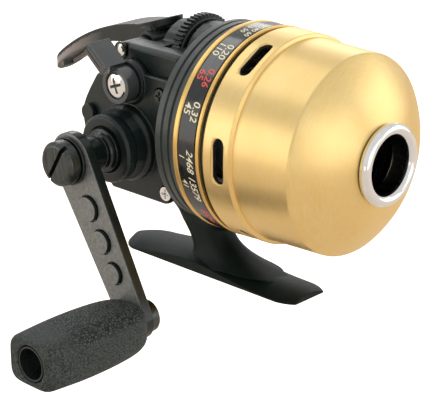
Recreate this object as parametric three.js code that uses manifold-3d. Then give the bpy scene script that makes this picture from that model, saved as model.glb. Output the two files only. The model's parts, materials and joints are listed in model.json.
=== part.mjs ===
// Spincast fishing reel, built as separate pieces. Millimetres, +Z up.
// The spool axis runs along X, the nose points to +X and the handle is on the -Y side.
// The row's origin is the centre of the foot's underside.
// Inside the reel group, x = 0 is the rear rim of the nose cone and y = z = 0 is the spool axis.
import * as THREE from 'three';
import { mergeVertices } from 'three/addons/utils/BufferGeometryUtils.js';
import Module from 'manifold-3d';

const wasm = await Module();
wasm.setup();

// ---- Driving dimensions ----
const FOOT_LENGTH = 70;
const FOOT_HALF_WIDTH = 8.6;
const FOOT_BOTTOM = -46.5;
const FOOT_REAR_X = -56.6;
const RUN_GAP = 0.3;
const BIG_ROUND = 36;

const CONE_RIM_R = 30;
const CONE_STEP_X = 9.4;
const CONE_BODY_R = 28.7;
const CONE_SHOULDER_X = 28.2;
const CONE_SHOULDER_R = 28.2;
const CONE_TIP_X = 37.9;
const CONE_BULGE = [20, 34.4];
const CONE_TIP_R = 11;
const CONE_WALL = 1.3;
const SLOT_COUNT = 6;
const SLOT_LENGTH = 12.6;
const SLOT_WIDTH = 3.2;
const SLOT_X = 5.2;

const GUIDE_HOLE_R = 8.15;
const GUIDE_LIP_R = 11.5;
const GUIDE_REAR_X = 34.3;
const GUIDE_FRONT_X = 41.05;

const FLANGE_R = 29.1;
const FLANGE_REAR_X = -19.25;
const PLATE_FRONT_X = -15;
const CUP_R = 28.75;
const CUP_INNER_R = 27.2;
const BAND_R = 30.1;

const BODY_HALF_WIDTH = 18.5;
const BODY_WALL = 2;
const BODY_TOP = 22;
const BODY_BOTTOM = -21.8;
const BODY_FRONT_X = FLANGE_REAR_X - RUN_GAP;

const PLATE_INNER_Y = -BODY_HALF_WIDTH - RUN_GAP;
const PLATE_OUTER_Y = PLATE_INNER_Y - 2;

const CRANK_X = -38;
const CRANK_Z = -6.17;
const CRANK_SHAFT_R = 2.6;
const BOSS_FACE_Y = -30.5;
const ARM_BACK_Y = -40.2;
const ARM_FRONT_Y = -43.4;
const ARM_ANGLE = THREE.MathUtils.degToRad(29.9);
const ARM_LENGTH = 47.95;
const KNOB_END_Y = -80.4;
const KNOB_INNER_Y = -44.2;

const SELECTOR_X = -37.3;
const SELECTOR_Z = 11.8;
const SELECTOR_TAB_ANGLE = THREE.MathUtils.degToRad(140);

const WHEEL_R = 12.25;
const WHEEL_Z = 17.2;
const WHEEL_REAR_X = -30.3;
const WHEEL_WIDTH = 3.7;
const WHEEL_RIBS = 36;

const LEVER_PIN_X = -43;
const LEVER_PIN_Z = 19.8;
const LEVER_HALF_WIDTH = 6.3;

const PINION_TEETH = 10;
const GEAR_TEETH = 41;
const RATCHET_TEETH = 12;
const RATCHET_PHASE = 14;
const PAWL_REACH = 9.8;
const PAWL_REST_ANGLE = 135;

// ---- Materials ----
const paint = (color, roughness, metalness) =>
  new THREE.MeshStandardMaterial({ color, roughness, metalness });
const BLACK_BODY = paint(0x20272a, 0.42, 0.35);
const BLACK_GLOSS = paint(0x17191c, 0.25, 0.2);
const GOLD = paint(0xd9b768, 0.32, 0.95);
const CHROME = paint(0xdfe2e4, 0.1, 1);
const STEEL = paint(0x9a9d9f, 0.3, 1);
const ARM_GREY = paint(0x6d6c69, 0.4, 0.85);
const PLUG_GREY = paint(0x7d7c79, 0.35, 0.85);
const RUBBER = paint(0x33373a, 0.8, 0);
const DARK_PLASTIC = paint(0x1b1e20, 0.5, 0);
const BRASS = paint(0xb89a55, 0.35, 0.9);
const BRONZE = paint(0x9c6b3f, 0.4, 0.9);
const LINE_GREEN = paint(0xc9d3c2, 0.4, 0);
const FELT = paint(0x5a4636, 0.95, 0);

// ---- Building helpers ----
const X_AXIS = new THREE.Vector3(1, 0, 0);
const Y_AXIS = new THREE.Vector3(0, 1, 0);
const Z_AXIS = new THREE.Vector3(0, 0, 1);
const SIDE_VIEW = new THREE.Matrix4().makeBasis(X_AXIS, Z_AXIS, Y_AXIS.clone().negate());
const FRONT_VIEW = new THREE.Matrix4().makeBasis(Y_AXIS, Z_AXIS, X_AXIS);

function solid(geometry) {
  const bare = geometry.clone();
  bare.deleteAttribute('normal');
  bare.deleteAttribute('uv');
  const merged = mergeVertices(bare, 1e-4);
  const corners = merged.index.array;
  const kept = [];
  for (let i = 0; i < corners.length; i += 3) {
    const [a, b, c] = [corners[i], corners[i + 1], corners[i + 2]];
    if (a !== b && b !== c && a !== c) {
      kept.push(a, b, c);
    }
  }
  return new wasm.Manifold(new wasm.Mesh({
    numProp: 3,
    vertProperties: new Float32Array(merged.attributes.position.array),
    triVerts: new Uint32Array(kept),
  }));
}

function surface(manifold) {
  const mesh = manifold.getMesh();
  const geometry = new THREE.BufferGeometry();
  geometry.setAttribute('position', new THREE.BufferAttribute(new Float32Array(mesh.vertProperties), 3));
  geometry.setIndex(new THREE.BufferAttribute(new Uint32Array(mesh.triVerts), 1));
  geometry.computeVertexNormals();
  return geometry;
}

const join = (first, ...others) => surface(others.reduce((sum, g) => sum.add(solid(g)), solid(first)));
const cut = (first, ...others) => surface(others.reduce((sum, g) => sum.subtract(solid(g)), solid(first)));
const common = (first, ...others) => surface(others.reduce((sum, g) => sum.intersect(solid(g)), solid(first)));

// Profile points in the order that makes a turned piece face outwards.
function profile(pairs) {
  const area = pairs.reduce((sum, [a, b], i) => {
    const [c, d] = pairs[(i + 1) % pairs.length];
    return sum + a * d - c * b;
  }, 0);
  const ordered = area < 0 ? [...pairs].reverse() : pairs;
  return ordered.map(([a, b]) => new THREE.Vector2(a, b));
}

// A turned piece on the spool axis: each pair is [radius, x].
function turnedX(pairs, segments = 24) {
  return new THREE.LatheGeometry(profile(pairs), segments).rotateZ(-Math.PI / 2);
}

// A turned piece on a sideways axis through (x, z): each pair is [radius, y].
function turnedY(pairs, x, z, segments = 20) {
  return new THREE.LatheGeometry(profile(pairs), segments).translate(x, 0, z);
}

function ringX(outer, inner, rear, front, segments = 24) {
  return turnedX([[inner, rear], [outer, rear], [outer, front], [inner, front], [inner, rear]], segments);
}

function ringY(outer, inner, low, high, x, z, segments = 20) {
  const pairs = [[inner, low], [outer, low], [outer, high], [inner, high], [inner, low]];
  return turnedY(pairs, x, z, segments);
}

function rodX(radius, rear, front, y = 0, z = 0, segments = 16) {
  return new THREE.CylinderGeometry(radius, radius, front - rear, segments)
    .rotateZ(-Math.PI / 2)
    .translate((rear + front) / 2, y, z);
}

function rodY(radius, low, high, x, z, segments = 16) {
  return new THREE.CylinderGeometry(radius, radius, high - low, segments)
    .translate(x, (low + high) / 2, z);
}

function rodZ(radius, low, high, x, y = 0, segments = 12) {
  return new THREE.CylinderGeometry(radius, radius, high - low, segments)
    .rotateX(Math.PI / 2)
    .translate(x, y, (low + high) / 2);
}

function block(x0, x1, y0, y1, z0, z1) {
  return new THREE.BoxGeometry(x1 - x0, y1 - y0, z1 - z0)
    .translate((x0 + x1) / 2, (y0 + y1) / 2, (z0 + z1) / 2);
}

// A side-view outline (x, z) given thickness from y = high down to y = low.
function slabY(shape, low, high, bevel = 0, curveSegments = 8) {
  return new THREE.ExtrudeGeometry(shape, {
    depth: high - low - 2 * bevel,
    bevelEnabled: bevel > 0,
    bevelSize: bevel,
    bevelOffset: -bevel,
    bevelThickness: bevel,
    bevelSegments: 1,
    curveSegments,
  }).applyMatrix4(SIDE_VIEW).translate(0, high - bevel, 0);
}

// A front-view outline (y, z) given thickness from x = rear to x = front.
function slabX(shape, rear, front, curveSegments = 8) {
  return new THREE.ExtrudeGeometry(shape, { depth: front - rear, bevelEnabled: false, curveSegments })
    .applyMatrix4(FRONT_VIEW).translate(rear, 0, 0);
}

// A plan outline (x, y) given height from z = low to z = high.
function slabZ(shape, low, high, curveSegments = 8) {
  return new THREE.ExtrudeGeometry(shape, { depth: high - low, bevelEnabled: false, curveSegments })
    .translate(0, 0, low);
}

function capsule(length, width) {
  const half = (length - width) / 2;
  const shape = new THREE.Shape();
  shape.absarc(half, 0, width / 2, -Math.PI / 2, Math.PI / 2);
  shape.absarc(-half, 0, width / 2, Math.PI / 2, 1.5 * Math.PI);
  shape.closePath();
  return shape;
}

// A toothed outline: each tooth is a trapezium between the root and the tip circle.
function toothedShape(teeth, root, tip, rootShare, tipShare, lean = 0) {
  const points = [];
  const pitch = (2 * Math.PI) / teeth;
  for (let i = 0; i < teeth; i += 1) {
    const middle = i * pitch;
    const corners = [
      [root, middle - rootShare * pitch / 2],
      [tip, middle - tipShare * pitch / 2 + lean * pitch],
      [tip, middle + tipShare * pitch / 2 + lean * pitch],
      [root, middle + rootShare * pitch / 2],
    ];
    for (const [r, angle] of corners) {
      points.push(new THREE.Vector2(r * Math.cos(angle), r * Math.sin(angle)));
    }
  }
  return new THREE.Shape(points);
}

const reel = new THREE.Group();
reel.position.set(-(FOOT_REAR_X + FOOT_LENGTH / 2), 0, -FOOT_BOTTOM);

function place(name, geometry, material) {
  const mesh = new THREE.Mesh(geometry, material);
  mesh.name = name;
  reel.add(mesh);
  return mesh;
}

// ---- Nose: cone, guide ring and trim rings ----
function shoulderArc(radius, rear, centreR, steps) {
  const pairs = [];
  for (let i = 0; i <= steps; i += 1) {
    const angle = (i / steps) * THREE.MathUtils.degToRad(62);
    pairs.push([centreR + radius * Math.cos(angle), rear + radius * Math.sin(angle)]);
  }
  return pairs;
}

function noseCone() {
  const shoulder = 2.4;
  const outer = [
    [CONE_RIM_R - 0.5, 0],
    [CONE_RIM_R, 0.5],
    [CONE_RIM_R - 0.4, CONE_STEP_X - 0.2],
    [CONE_BODY_R, CONE_STEP_X + 0.7],
    ...shoulderArc(shoulder, CONE_SHOULDER_X, CONE_SHOULDER_R - shoulder, 3),
    CONE_BULGE,
    [CONE_TIP_R, CONE_TIP_X],
  ];
  const inner = [
    [CONE_TIP_R - 0.7, CONE_TIP_X - 0.3],
    [CONE_TIP_R - 0.7, CONE_TIP_X - 1.6],
    [CONE_SHOULDER_R - 2.6, CONE_SHOULDER_X + 1.1],
    [CONE_SHOULDER_R - CONE_WALL, CONE_SHOULDER_X - 0.8],
    [CONE_BODY_R - CONE_WALL, CONE_STEP_X + 1.2],
    [CONE_RIM_R - CONE_WALL, 0],
  ];
  const shell = turnedX([...outer, ...inner, outer[0]], BIG_ROUND);
  const slots = [];
  for (let i = 0; i < SLOT_COUNT; i += 1) {
    const slot = new THREE.ExtrudeGeometry(capsule(SLOT_LENGTH, SLOT_WIDTH), {
      depth: 6,
      bevelEnabled: false,
      curveSegments: 4,
    });
    slot.rotateZ(Math.PI / 2);
    slot.translate(SLOT_X, 0, CONE_RIM_R - 4);
    slot.rotateX((i + 0.5) * 2 * Math.PI / SLOT_COUNT + Math.PI / 3);
    slots.push(slot);
  }
  return cut(shell, ...slots);
}

// Sleeve through the cone's tip with a rounded bead in front of it.
function guideRing() {
  const sleeveR = CONE_TIP_R - 1;
  return turnedX([
    [GUIDE_HOLE_R, GUIDE_REAR_X],
    [sleeveR, GUIDE_REAR_X],
    [sleeveR, CONE_TIP_X + RUN_GAP],
    [GUIDE_LIP_R - 0.5, CONE_TIP_X + RUN_GAP],
    [GUIDE_LIP_R, GUIDE_FRONT_X - 1.6],
    [GUIDE_LIP_R - 0.5, GUIDE_FRONT_X - 0.5],
    [GUIDE_LIP_R - 1.5, GUIDE_FRONT_X],
    [GUIDE_HOLE_R + 0.7, GUIDE_FRONT_X - 0.3],
    [GUIDE_HOLE_R, GUIDE_FRONT_X - 1.2],
    [GUIDE_HOLE_R, GUIDE_REAR_X],
  ], 28);
}

place('nose_cone', noseCone(), GOLD);
place('guide_ring', guideRing(), CHROME);
place('trim_ring_rear', ringX(BAND_R, CUP_R + RUN_GAP, -11.2, -9.5, BIG_ROUND), GOLD);
place('label_ring', ringX(BAND_R - 0.15, CUP_R + RUN_GAP, -9.2, -3.1, BIG_ROUND), BLACK_GLOSS);
place('trim_ring_front', ringX(BAND_R, CUP_R + RUN_GAP, -2.8, -1.6, BIG_ROUND), GOLD);

// ---- Frame ----
const HUB_R = 7;
const BEARING_BORE_R = 5;
const POST_Y = 12.5;
const POST_Z = -17.6;
const SCREW_SHANK_R = 1.2;
const STEM_SCREW_FRONT_X = -12.7;
const STEM_SCREW_REAR_X = -25;

function frontFrame() {
  const body = turnedX([
    [BEARING_BORE_R, FLANGE_REAR_X],
    [FLANGE_R - 0.5, FLANGE_REAR_X],
    [FLANGE_R, FLANGE_REAR_X + 0.5],
    [FLANGE_R, -16.9],
    [FLANGE_R - 0.6, -16.5],
    [FLANGE_R, -16.1],
    [FLANGE_R, -14.2],
    [FLANGE_R - 0.6, -13.8],
    [FLANGE_R, -13.4],
    [FLANGE_R, -11.5],
    [CUP_R, -11.5],
    [CUP_R, -0.4],
    [CUP_INNER_R, -0.4],
    [CUP_INNER_R, PLATE_FRONT_X],
    [HUB_R, PLATE_FRONT_X],
    [HUB_R, 6],
    [BEARING_BORE_R, 6],
    [BEARING_BORE_R, FLANGE_REAR_X],
  ], BIG_ROUND);
  return cut(
    body,
    rodX(2.6, -21, -14, 0, WHEEL_Z, 12),
    rodX(SCREW_SHANK_R + RUN_GAP, -21, -14, -POST_Y, POST_Z, 12),
    rodX(SCREW_SHANK_R + RUN_GAP, -21, -14, POST_Y, POST_Z, 12),
    rodZ(SCREW_SHANK_R + RUN_GAP, -31, -26, STEM_SCREW_FRONT_X, 0, 12),
  );
}

// Side outline of the gear housing, drawn inwards by the given inset.
function housingOutline(inset) {
  const shape = new THREE.Shape();
  const rear = -61 + inset;
  shape.moveTo(BODY_FRONT_X + (inset > 0 ? 1 : 0), BODY_TOP - inset);
  shape.lineTo(LEVER_PIN_X + 1, BODY_TOP - inset);
  shape.quadraticCurveTo(-46.5 + inset * 0.5, BODY_TOP - inset, -49 + inset * 0.6, 16.5 - inset * 0.6);
  shape.lineTo(-53.6 + inset, 11 - inset * 0.5);
  shape.quadraticCurveTo(rear, 0, rear + 0.4, -3);
  shape.quadraticCurveTo(rear + 3, -16, -47 + inset * 0.5, BODY_BOTTOM + inset);
  shape.lineTo(BODY_FRONT_X + (inset > 0 ? 1 : 0), BODY_BOTTOM + inset);
  shape.closePath();
  return shape;
}

const FRONT_HUMP_R = 10.6;
const REAR_HUMP_R = 9.7;
const TOWER_HALF_WIDTH = 11.4;
const WHEEL_SLOT_HALF = 13.2;
const PIN_R = 1.5;

function gearHousing() {
  const outer = slabY(housingOutline(0), -BODY_HALF_WIDTH, BODY_HALF_WIDTH, 1.2, 4);
  const cavity = slabY(housingOutline(BODY_WALL), -BODY_HALF_WIDTH + BODY_WALL, BODY_HALF_WIDTH - BODY_WALL, 0, 4);
  const mouth = block(-24, -18, -16.5, 16.5, BODY_BOTTOM + BODY_WALL, BODY_TOP - BODY_WALL);
  const hollow = cut(outer, cavity, mouth);
  const tower = block(-36.2, BODY_FRONT_X, -TOWER_HALF_WIDTH, TOWER_HALF_WIDTH, 12, BODY_TOP - 1);
  const frontHump = rodX(FRONT_HUMP_R, -26.4, BODY_FRONT_X, 0, WHEEL_Z, 24);
  const rearHump = rodX(REAR_HUMP_R, -36.2, -30.6, 0, WHEEL_Z, 24);
  const humps = common(
    join(frontHump, rearHump),
    block(-40, -10, -14, 14, BODY_TOP - 5, 40),
  );
  const posts = [-POST_Y, POST_Y].map((y) => rodX(3, -30, BODY_FRONT_X, y, POST_Z, 10));
  const endBoss = rodY(5, 11.5, BODY_HALF_WIDTH - 1, CRANK_X, CRANK_Z, 20);
  return cut(
    join(hollow, tower, humps, ...posts, endBoss),
    block(WHEEL_REAR_X - 0.6, WHEEL_REAR_X + WHEEL_WIDTH + 0.6, -WHEEL_SLOT_HALF, WHEEL_SLOT_HALF, 4.2, 40),
    block(-70, -36.6, -11, 11, 9, 40),
    rodX(2.1, -34.6, -20, 0, WHEEL_Z, 12),
    rodX(2.6, -24, -18, 0, WHEEL_Z, 12),
    rodX(SCREW_SHANK_R + RUN_GAP, -28.5, -18, -POST_Y, POST_Z, 12),
    rodX(SCREW_SHANK_R + RUN_GAP, -28.5, -18, POST_Y, POST_Z, 12),
    rodY(PIN_R + RUN_GAP, -20, 20, LEVER_PIN_X, LEVER_PIN_Z, 16),
    rodY(2.9, -20, -BODY_HALF_WIDTH + 0.9, LEVER_PIN_X, LEVER_PIN_Z, 20),
    rodY(2.9, BODY_HALF_WIDTH - 0.9, 20, LEVER_PIN_X, LEVER_PIN_Z, 20),
    rodY(5.4, -20, -15, CRANK_X, CRANK_Z, 24),
    rodY(CRANK_SHAFT_R + RUN_GAP, 8, 20, CRANK_X, CRANK_Z, 20),
    rodY(4.2, BODY_HALF_WIDTH - 1, 20, CRANK_X, CRANK_Z, 20),
    rodY(2.3, -20, -15, SELECTOR_X, SELECTOR_Z, 16),
    rodZ(SCREW_SHANK_R + RUN_GAP, -23, -18, -25, 0, 12),
  );
}

const SIDE_SCREWS = { upper: [-25, 10], lower: [-23.1, -18.3] };
const PIVOT_CAP = [-53.8, -0.4];

function sidePlate() {
  const shape = new THREE.Shape();
  shape.moveTo(-20.4, 15);
  shape.lineTo(-31.6, 15);
  shape.absarc(SELECTOR_X, SELECTOR_Z, 6.6, Math.PI * 0.16, Math.PI * 0.72, false);
  shape.lineTo(-51.3, 11.4);
  shape.quadraticCurveTo(-58, 2, -58, -1.5);
  shape.quadraticCurveTo(-57, -13, -45.5, BODY_BOTTOM);
  shape.lineTo(-24, BODY_BOTTOM);
  shape.quadraticCurveTo(-20.6, -21.4, -20.4, -17);
  shape.closePath();
  const sheet = slabY(shape, PLATE_OUTER_Y, PLATE_INNER_Y, 0.4, 4);
  const boss = turnedY([
    [0, PLATE_OUTER_Y + 1],
    [11.2, PLATE_OUTER_Y + 1],
    [11.2, -22.6],
    [10.4, -23.6],
    [9.7, -26.8],
    [10, -27.6],
    [10, -29.8],
    [9.3, BOSS_FACE_Y],
    [0, BOSS_FACE_Y],
  ], CRANK_X, CRANK_Z, 28);
  const selectorSeat = rodY(6.2, PLATE_OUTER_Y - 0.9, PLATE_OUTER_Y + 1, SELECTOR_X, SELECTOR_Z, 24);
  const screwHoles = Object.values(SIDE_SCREWS).flatMap(([x, z]) => [
    rodY(SCREW_SHANK_R + RUN_GAP, -24, -18, x, z, 12),
    rodY(2.5, -24, PLATE_OUTER_Y + 0.9, x, z, 12),
  ]);
  return cut(
    join(sheet, boss, selectorSeat),
    rodY(6.8, -34, BOSS_FACE_Y + 0.7, CRANK_X, CRANK_Z, 24),
    rodY(5, -34, -16, CRANK_X, CRANK_Z, 20),
    rodY(2.3, -24, -16, SELECTOR_X, SELECTOR_Z, 16),
    rodY(1.5, -24, -16, ...PIVOT_CAP, 12),
    ...screwHoles,
  );
}

// A cross-slotted screw: head and shank on a sideways axis.
function sideScrew(x, z) {
  const head = rodY(2.15, PLATE_OUTER_Y - 0.5, PLATE_OUTER_Y + 0.6, x, z, 14);
  const shank = rodY(SCREW_SHANK_R, PLATE_OUTER_Y, PLATE_INNER_Y - 0.05, x, z, 10);
  const slots = [
    block(x - 1.4, x + 1.4, PLATE_OUTER_Y - 1, PLATE_OUTER_Y + 0.1, z - 0.25, z + 0.25),
    block(x - 0.25, x + 0.25, PLATE_OUTER_Y - 1, PLATE_OUTER_Y + 0.1, z - 1.4, z + 1.4),
  ];
  return cut(join(head, shank), ...slots);
}

place('front_frame', frontFrame(), BLACK_BODY);
place('gear_housing', gearHousing(), BLACK_BODY);
place('side_plate', sidePlate(), BLACK_BODY);
place('side_screw_upper', sideScrew(...SIDE_SCREWS.upper), STEEL);
place('side_screw_lower', sideScrew(...SIDE_SCREWS.lower), CHROME);
place('frame_screw_right', join(
  rodX(2.2, PLATE_FRONT_X + RUN_GAP, -13.6, -POST_Y, POST_Z, 12),
  rodX(SCREW_SHANK_R, -27.5, -14, -POST_Y, POST_Z, 12),
), STEEL);
place('frame_screw_left', join(
  rodX(2.2, PLATE_FRONT_X + RUN_GAP, -13.6, POST_Y, POST_Z, 12),
  rodX(SCREW_SHANK_R, -27.5, -14, POST_Y, POST_Z, 12),
), STEEL);
place('pivot_cap', join(
  rodY(2.6, PLATE_OUTER_Y - 1.7, PLATE_OUTER_Y - RUN_GAP, ...PIVOT_CAP, 20),
  rodY(1.2, PLATE_OUTER_Y - 1, PLATE_INNER_Y - 0.05, ...PIVOT_CAP, 12),
), BLACK_BODY);

// ---- Foot ----
const FOOT_CENTRE_X = FOOT_REAR_X + FOOT_LENGTH / 2;

// How far along the foot's spine rises where the stem stands on it: 1 under the stem, 0 at the ends.
function spineRise(along) {
  const stemCentre = -0.14;
  return Math.max(Math.cos((along - stemCentre) * 1.4), 0) ** 4;
}

// Arched plate with thin ramped ends, rounded at the rear and square-cornered at the front.
function footPlate() {
  const plate = new THREE.BoxGeometry(2, 2, 1, 16, 6, 1);
  const spots = plate.attributes.position;
  for (let i = 0; i < spots.count; i += 1) {
    const along = spots.getX(i);
    const across = spots.getY(i);
    const rearTaper = 0.86 * (Math.max(0, -along - 0.8) / 0.2) ** 2;
    const frontTaper = 0.5 * (Math.max(0, along - 0.8) / 0.2) ** 2;
    const halfWidth = FOOT_HALF_WIDTH * Math.sqrt(1 - rearTaper - frontTaper);
    const edge = 0.3 + 2.8 * spineRise(along);
    const spine = 3.6 + spineRise(along) - 1.4 * along ** 6;
    const top = edge + (spine - edge) * (1 - across * across);
    spots.setX(i, FOOT_CENTRE_X + along * FOOT_LENGTH / 2);
    spots.setY(i, across * halfWidth);
    spots.setZ(i, FOOT_BOTTOM + (spots.getZ(i) > 0 ? top : 0));
  }
  return plate;
}

// Waisted stem between the foot and the frame, longer and wider at both ends.
function footStem() {
  const low = FOOT_BOTTOM + 2.9;
  const high = BODY_BOTTOM - RUN_GAP;
  const stem = new THREE.CylinderGeometry(1, 1, 1, 28, 11).rotateX(Math.PI / 2);
  const spots = stem.attributes.position;
  for (let i = 0; i < spots.count; i += 1) {
    const rise = spots.getZ(i) + 0.5;
    const rear = -29.8 - 18 * rise ** 2.3 - 1.5 * (1 - rise) ** 12;
    const front = -17.6 + 21 * (1 - rise) ** 6 + 9 * THREE.MathUtils.smoothstep(rise, 0.46, 0.62);
    const halfWidth = 4.6 + 3.4 * (1 - rise) ** 8 + 8.5 * rise ** 4;
    const squared = (value) => Math.sign(value) * Math.abs(value) ** 0.8;
    spots.setX(i, (rear + front) / 2 + squared(spots.getX(i)) * (front - rear) / 2);
    spots.setY(i, squared(spots.getY(i)) * halfWidth);
    spots.setZ(i, low + rise * (high - low));
  }
  return stem;
}

function reelFoot() {
  return cut(
    join(footPlate(), footStem()),
    rodX(FLANGE_R + RUN_GAP, FLANGE_REAR_X - RUN_GAP, -10, 0, 0, BIG_ROUND),
    rodX(BAND_R + RUN_GAP, -11.5, 10, 0, 0, BIG_ROUND),
    rodZ(SCREW_SHANK_R + RUN_GAP, -33, -20, STEM_SCREW_FRONT_X, 0, 12),
    rodZ(SCREW_SHANK_R + RUN_GAP, -33, -20, STEM_SCREW_REAR_X, 0, 12),
  );
}

place('reel_foot', reelFoot(), BLACK_BODY);
place('foot_screw_front', join(
  rodZ(2, -CUP_INNER_R + 0.9, -CUP_INNER_R + 2.2, STEM_SCREW_FRONT_X, 0, 16),
  rodZ(SCREW_SHANK_R, -32.6, -CUP_INNER_R + 1.5, STEM_SCREW_FRONT_X, 0, 12),
), STEEL);
place('foot_screw_rear', join(
  rodZ(2.3, BODY_BOTTOM + BODY_WALL + RUN_GAP, BODY_BOTTOM + BODY_WALL + 1.6, STEM_SCREW_REAR_X, 0, 16),
  rodZ(SCREW_SHANK_R, -31, BODY_BOTTOM + BODY_WALL + 1, STEM_SCREW_REAR_X, 0, 12),
), STEEL);

// ---- Bearings ----
place('pinion_bearing', ringX(BEARING_BORE_R - RUN_GAP, 3.3, -19, -9, 20), BRONZE);
place('crank_bushing', ringY(4.7, CRANK_SHAFT_R + RUN_GAP, -29.6, -17.4, CRANK_X, CRANK_Z, 20), BRONZE);
place('crank_end_cap', rodY(3.9, BODY_HALF_WIDTH - 0.7, BODY_HALF_WIDTH + 0.7, CRANK_X, CRANK_Z, 20), BLACK_BODY);

// ---- Crank, drive gear and ratchet ----
function driveGear() {
  const outerR = 13;
  const blank = ringY(outerR, CRANK_SHAFT_R + RUN_GAP, -8, -5.4, CRANK_X, CRANK_Z, GEAR_TEETH);
  const teeth = [];
  for (let i = 0; i < GEAR_TEETH; i += 1) {
    const tooth = new THREE.BoxGeometry(2, 1.5, 0.9);
    tooth.translate(outerR - 1.15, -4.75, 0);
    tooth.rotateY((i + 0.5) * 2 * Math.PI / GEAR_TEETH);
    tooth.translate(CRANK_X, 0, CRANK_Z);
    teeth.push(tooth);
  }
  return join(blank, ...teeth);
}

function ratchetWheel() {
  const shape = toothedShape(RATCHET_TEETH, 7.2, 9, 0.7, 0.2, 0.25);
  const turned = slabY(shape, -15.5, -13).rotateY(-THREE.MathUtils.degToRad(RATCHET_PHASE));
  const wheel = turned.translate(CRANK_X, 0, CRANK_Z);
  return cut(wheel, rodY(CRANK_SHAFT_R + RUN_GAP, -17, -11, CRANK_X, CRANK_Z));
}

place('crank_shaft', cut(
  join(
    rodY(CRANK_SHAFT_R, -43, 16.8, CRANK_X, CRANK_Z),
    rodY(4, -12.6, -8.3, CRANK_X, CRANK_Z),
  ),
  rodY(1.9, -45, -32, CRANK_X, CRANK_Z, 14),
), STEEL);
place('crank_collar', turnedY([
  [CRANK_SHAFT_R + RUN_GAP, -39.9],
  [4.7, -39.9],
  [4.9, -34.5],
  [5.5, -32.4],
  [6.3, -31.4],
  [6.3, -30.1],
  [CRANK_SHAFT_R + RUN_GAP, -30.1],
  [CRANK_SHAFT_R + RUN_GAP, -39.9],
], CRANK_X, CRANK_Z, 28), BLACK_BODY);
place('drive_gear', driveGear(), BRASS);
place('ratchet_wheel', ratchetWheel(), STEEL);

// ---- Handle: arm, plugs, screw and knob ----
const ALONG_ARM = [Math.sin(ARM_ANGLE), -Math.cos(ARM_ANGLE)];
const armPoint = (s) => [CRANK_X + s * ALONG_ARM[0], CRANK_Z + s * ALONG_ARM[1]];
const [KNOB_X, KNOB_Z] = armPoint(ARM_LENGTH);
const ARM_PLUGS = [[14.4, 3.6], [24.3, 3.4], [33.7, 3.1]];
const ARM_RADII = [7.9, 5.4];

function armBlank() {
  const [big, small] = ARM_RADII;
  const shape = new THREE.Shape();
  const tilt = Math.asin((big - small) / ARM_LENGTH);
  shape.absarc(0, 0, big, Math.PI / 2 - tilt, 1.5 * Math.PI + tilt, false);
  shape.absarc(ARM_LENGTH, 0, small, -Math.PI / 2 + tilt, Math.PI / 2 - tilt, false);
  shape.closePath();
  return slabY(shape, ARM_FRONT_Y, ARM_BACK_Y, 0.35, 8)
    .rotateY(Math.PI / 2 - ARM_ANGLE)
    .translate(CRANK_X, 0, CRANK_Z);
}

function crankArm() {
  const holes = ARM_PLUGS.map(([s, r]) => rodY(r + 0.25, -50, -36, ...armPoint(s), 16));
  return cut(
    armBlank(),
    rodY(CRANK_SHAFT_R + RUN_GAP, -50, -36, CRANK_X, CRANK_Z, 20),
    rodY(2.8, -50, -36, KNOB_X, KNOB_Z, 16),
    ...holes,
  );
}

function handleScrew() {
  const head = turnedY([
    [0, -44.9],
    [6.4, -44.9],
    [6.4, -47.5],
    [5.8, -48.1],
    [0, -48.1],
  ], 0, 0, 24);
  const shank = rodY(1.6, -45.5, -33, 0, 0, 14);
  const slot = new THREE.BoxGeometry(16, 1.3, 1.5).translate(0, -48.1 + 0.4, 0);
  slot.rotateY(-THREE.MathUtils.degToRad(58.6));
  return cut(join(head, shank), slot).translate(CRANK_X, 0, CRANK_Z);
}

place('crank_arm', crankArm(), ARM_GREY);
ARM_PLUGS.forEach(([s, r], i) => {
  const [x, z] = armPoint(s);
  const plug = turnedY([
    [0, ARM_BACK_Y - 0.3],
    [r, ARM_BACK_Y - 0.3],
    [r, ARM_FRONT_Y - 0.7],
    [r - 0.5, ARM_FRONT_Y - 1.1],
    [0, ARM_FRONT_Y - 1.1],
  ], x, z, 16);
  place(`arm_plug_${i + 1}`, plug, PLUG_GREY);
});
place('handle_washer', ringY(6.9, 2.2, -44.6, -43.7, CRANK_X, CRANK_Z, 28), BLACK_BODY);
place('handle_screw', handleScrew(), STEEL);

const CORE_R = 4.9;
const POST_R = 2.4;

// Half-width and half-height of the grip at a share of its length from the outer end.
function gripSize(share) {
  const flare = 1 - Math.exp(-share * 14);
  const swell = 1 + 0.08 * Math.sin(share * Math.PI);
  const close = Math.sqrt(1 - 0.33 * (Math.max(0, share - 0.88) / 0.12) ** 2);
  return [(6.7 + 1.9 * flare + 0.3 * share) * swell * close, (5.7 + 1.1 * flare + share) * swell * close];
}

function knobGrip() {
  const length = KNOB_INNER_Y - KNOB_END_Y;
  const grip = new THREE.CylinderGeometry(1, 1, length, 24, 9);
  grip.translate(0, length / 2 + KNOB_END_Y, 0);
  const spot = grip.attributes.position;
  for (let i = 0; i < spot.count; i += 1) {
    const share = (spot.getY(i) - KNOB_END_Y) / length;
    const [halfX, halfZ] = gripSize(share);
    const angle = Math.atan2(spot.getZ(i), spot.getX(i));
    const reach = Math.hypot(spot.getX(i), spot.getZ(i));
    const power = 2 / 3.4;
    const square = (value) => Math.sign(value) * Math.abs(value) ** power;
    spot.setX(i, reach * halfX * square(Math.cos(angle)));
    spot.setZ(i, reach * halfZ * square(Math.sin(angle)));
  }
  return cut(
    grip.translate(KNOB_X, 0, KNOB_Z),
    rodY(CORE_R + RUN_GAP, -90, -40, KNOB_X, KNOB_Z, 20),
  );
}

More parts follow.
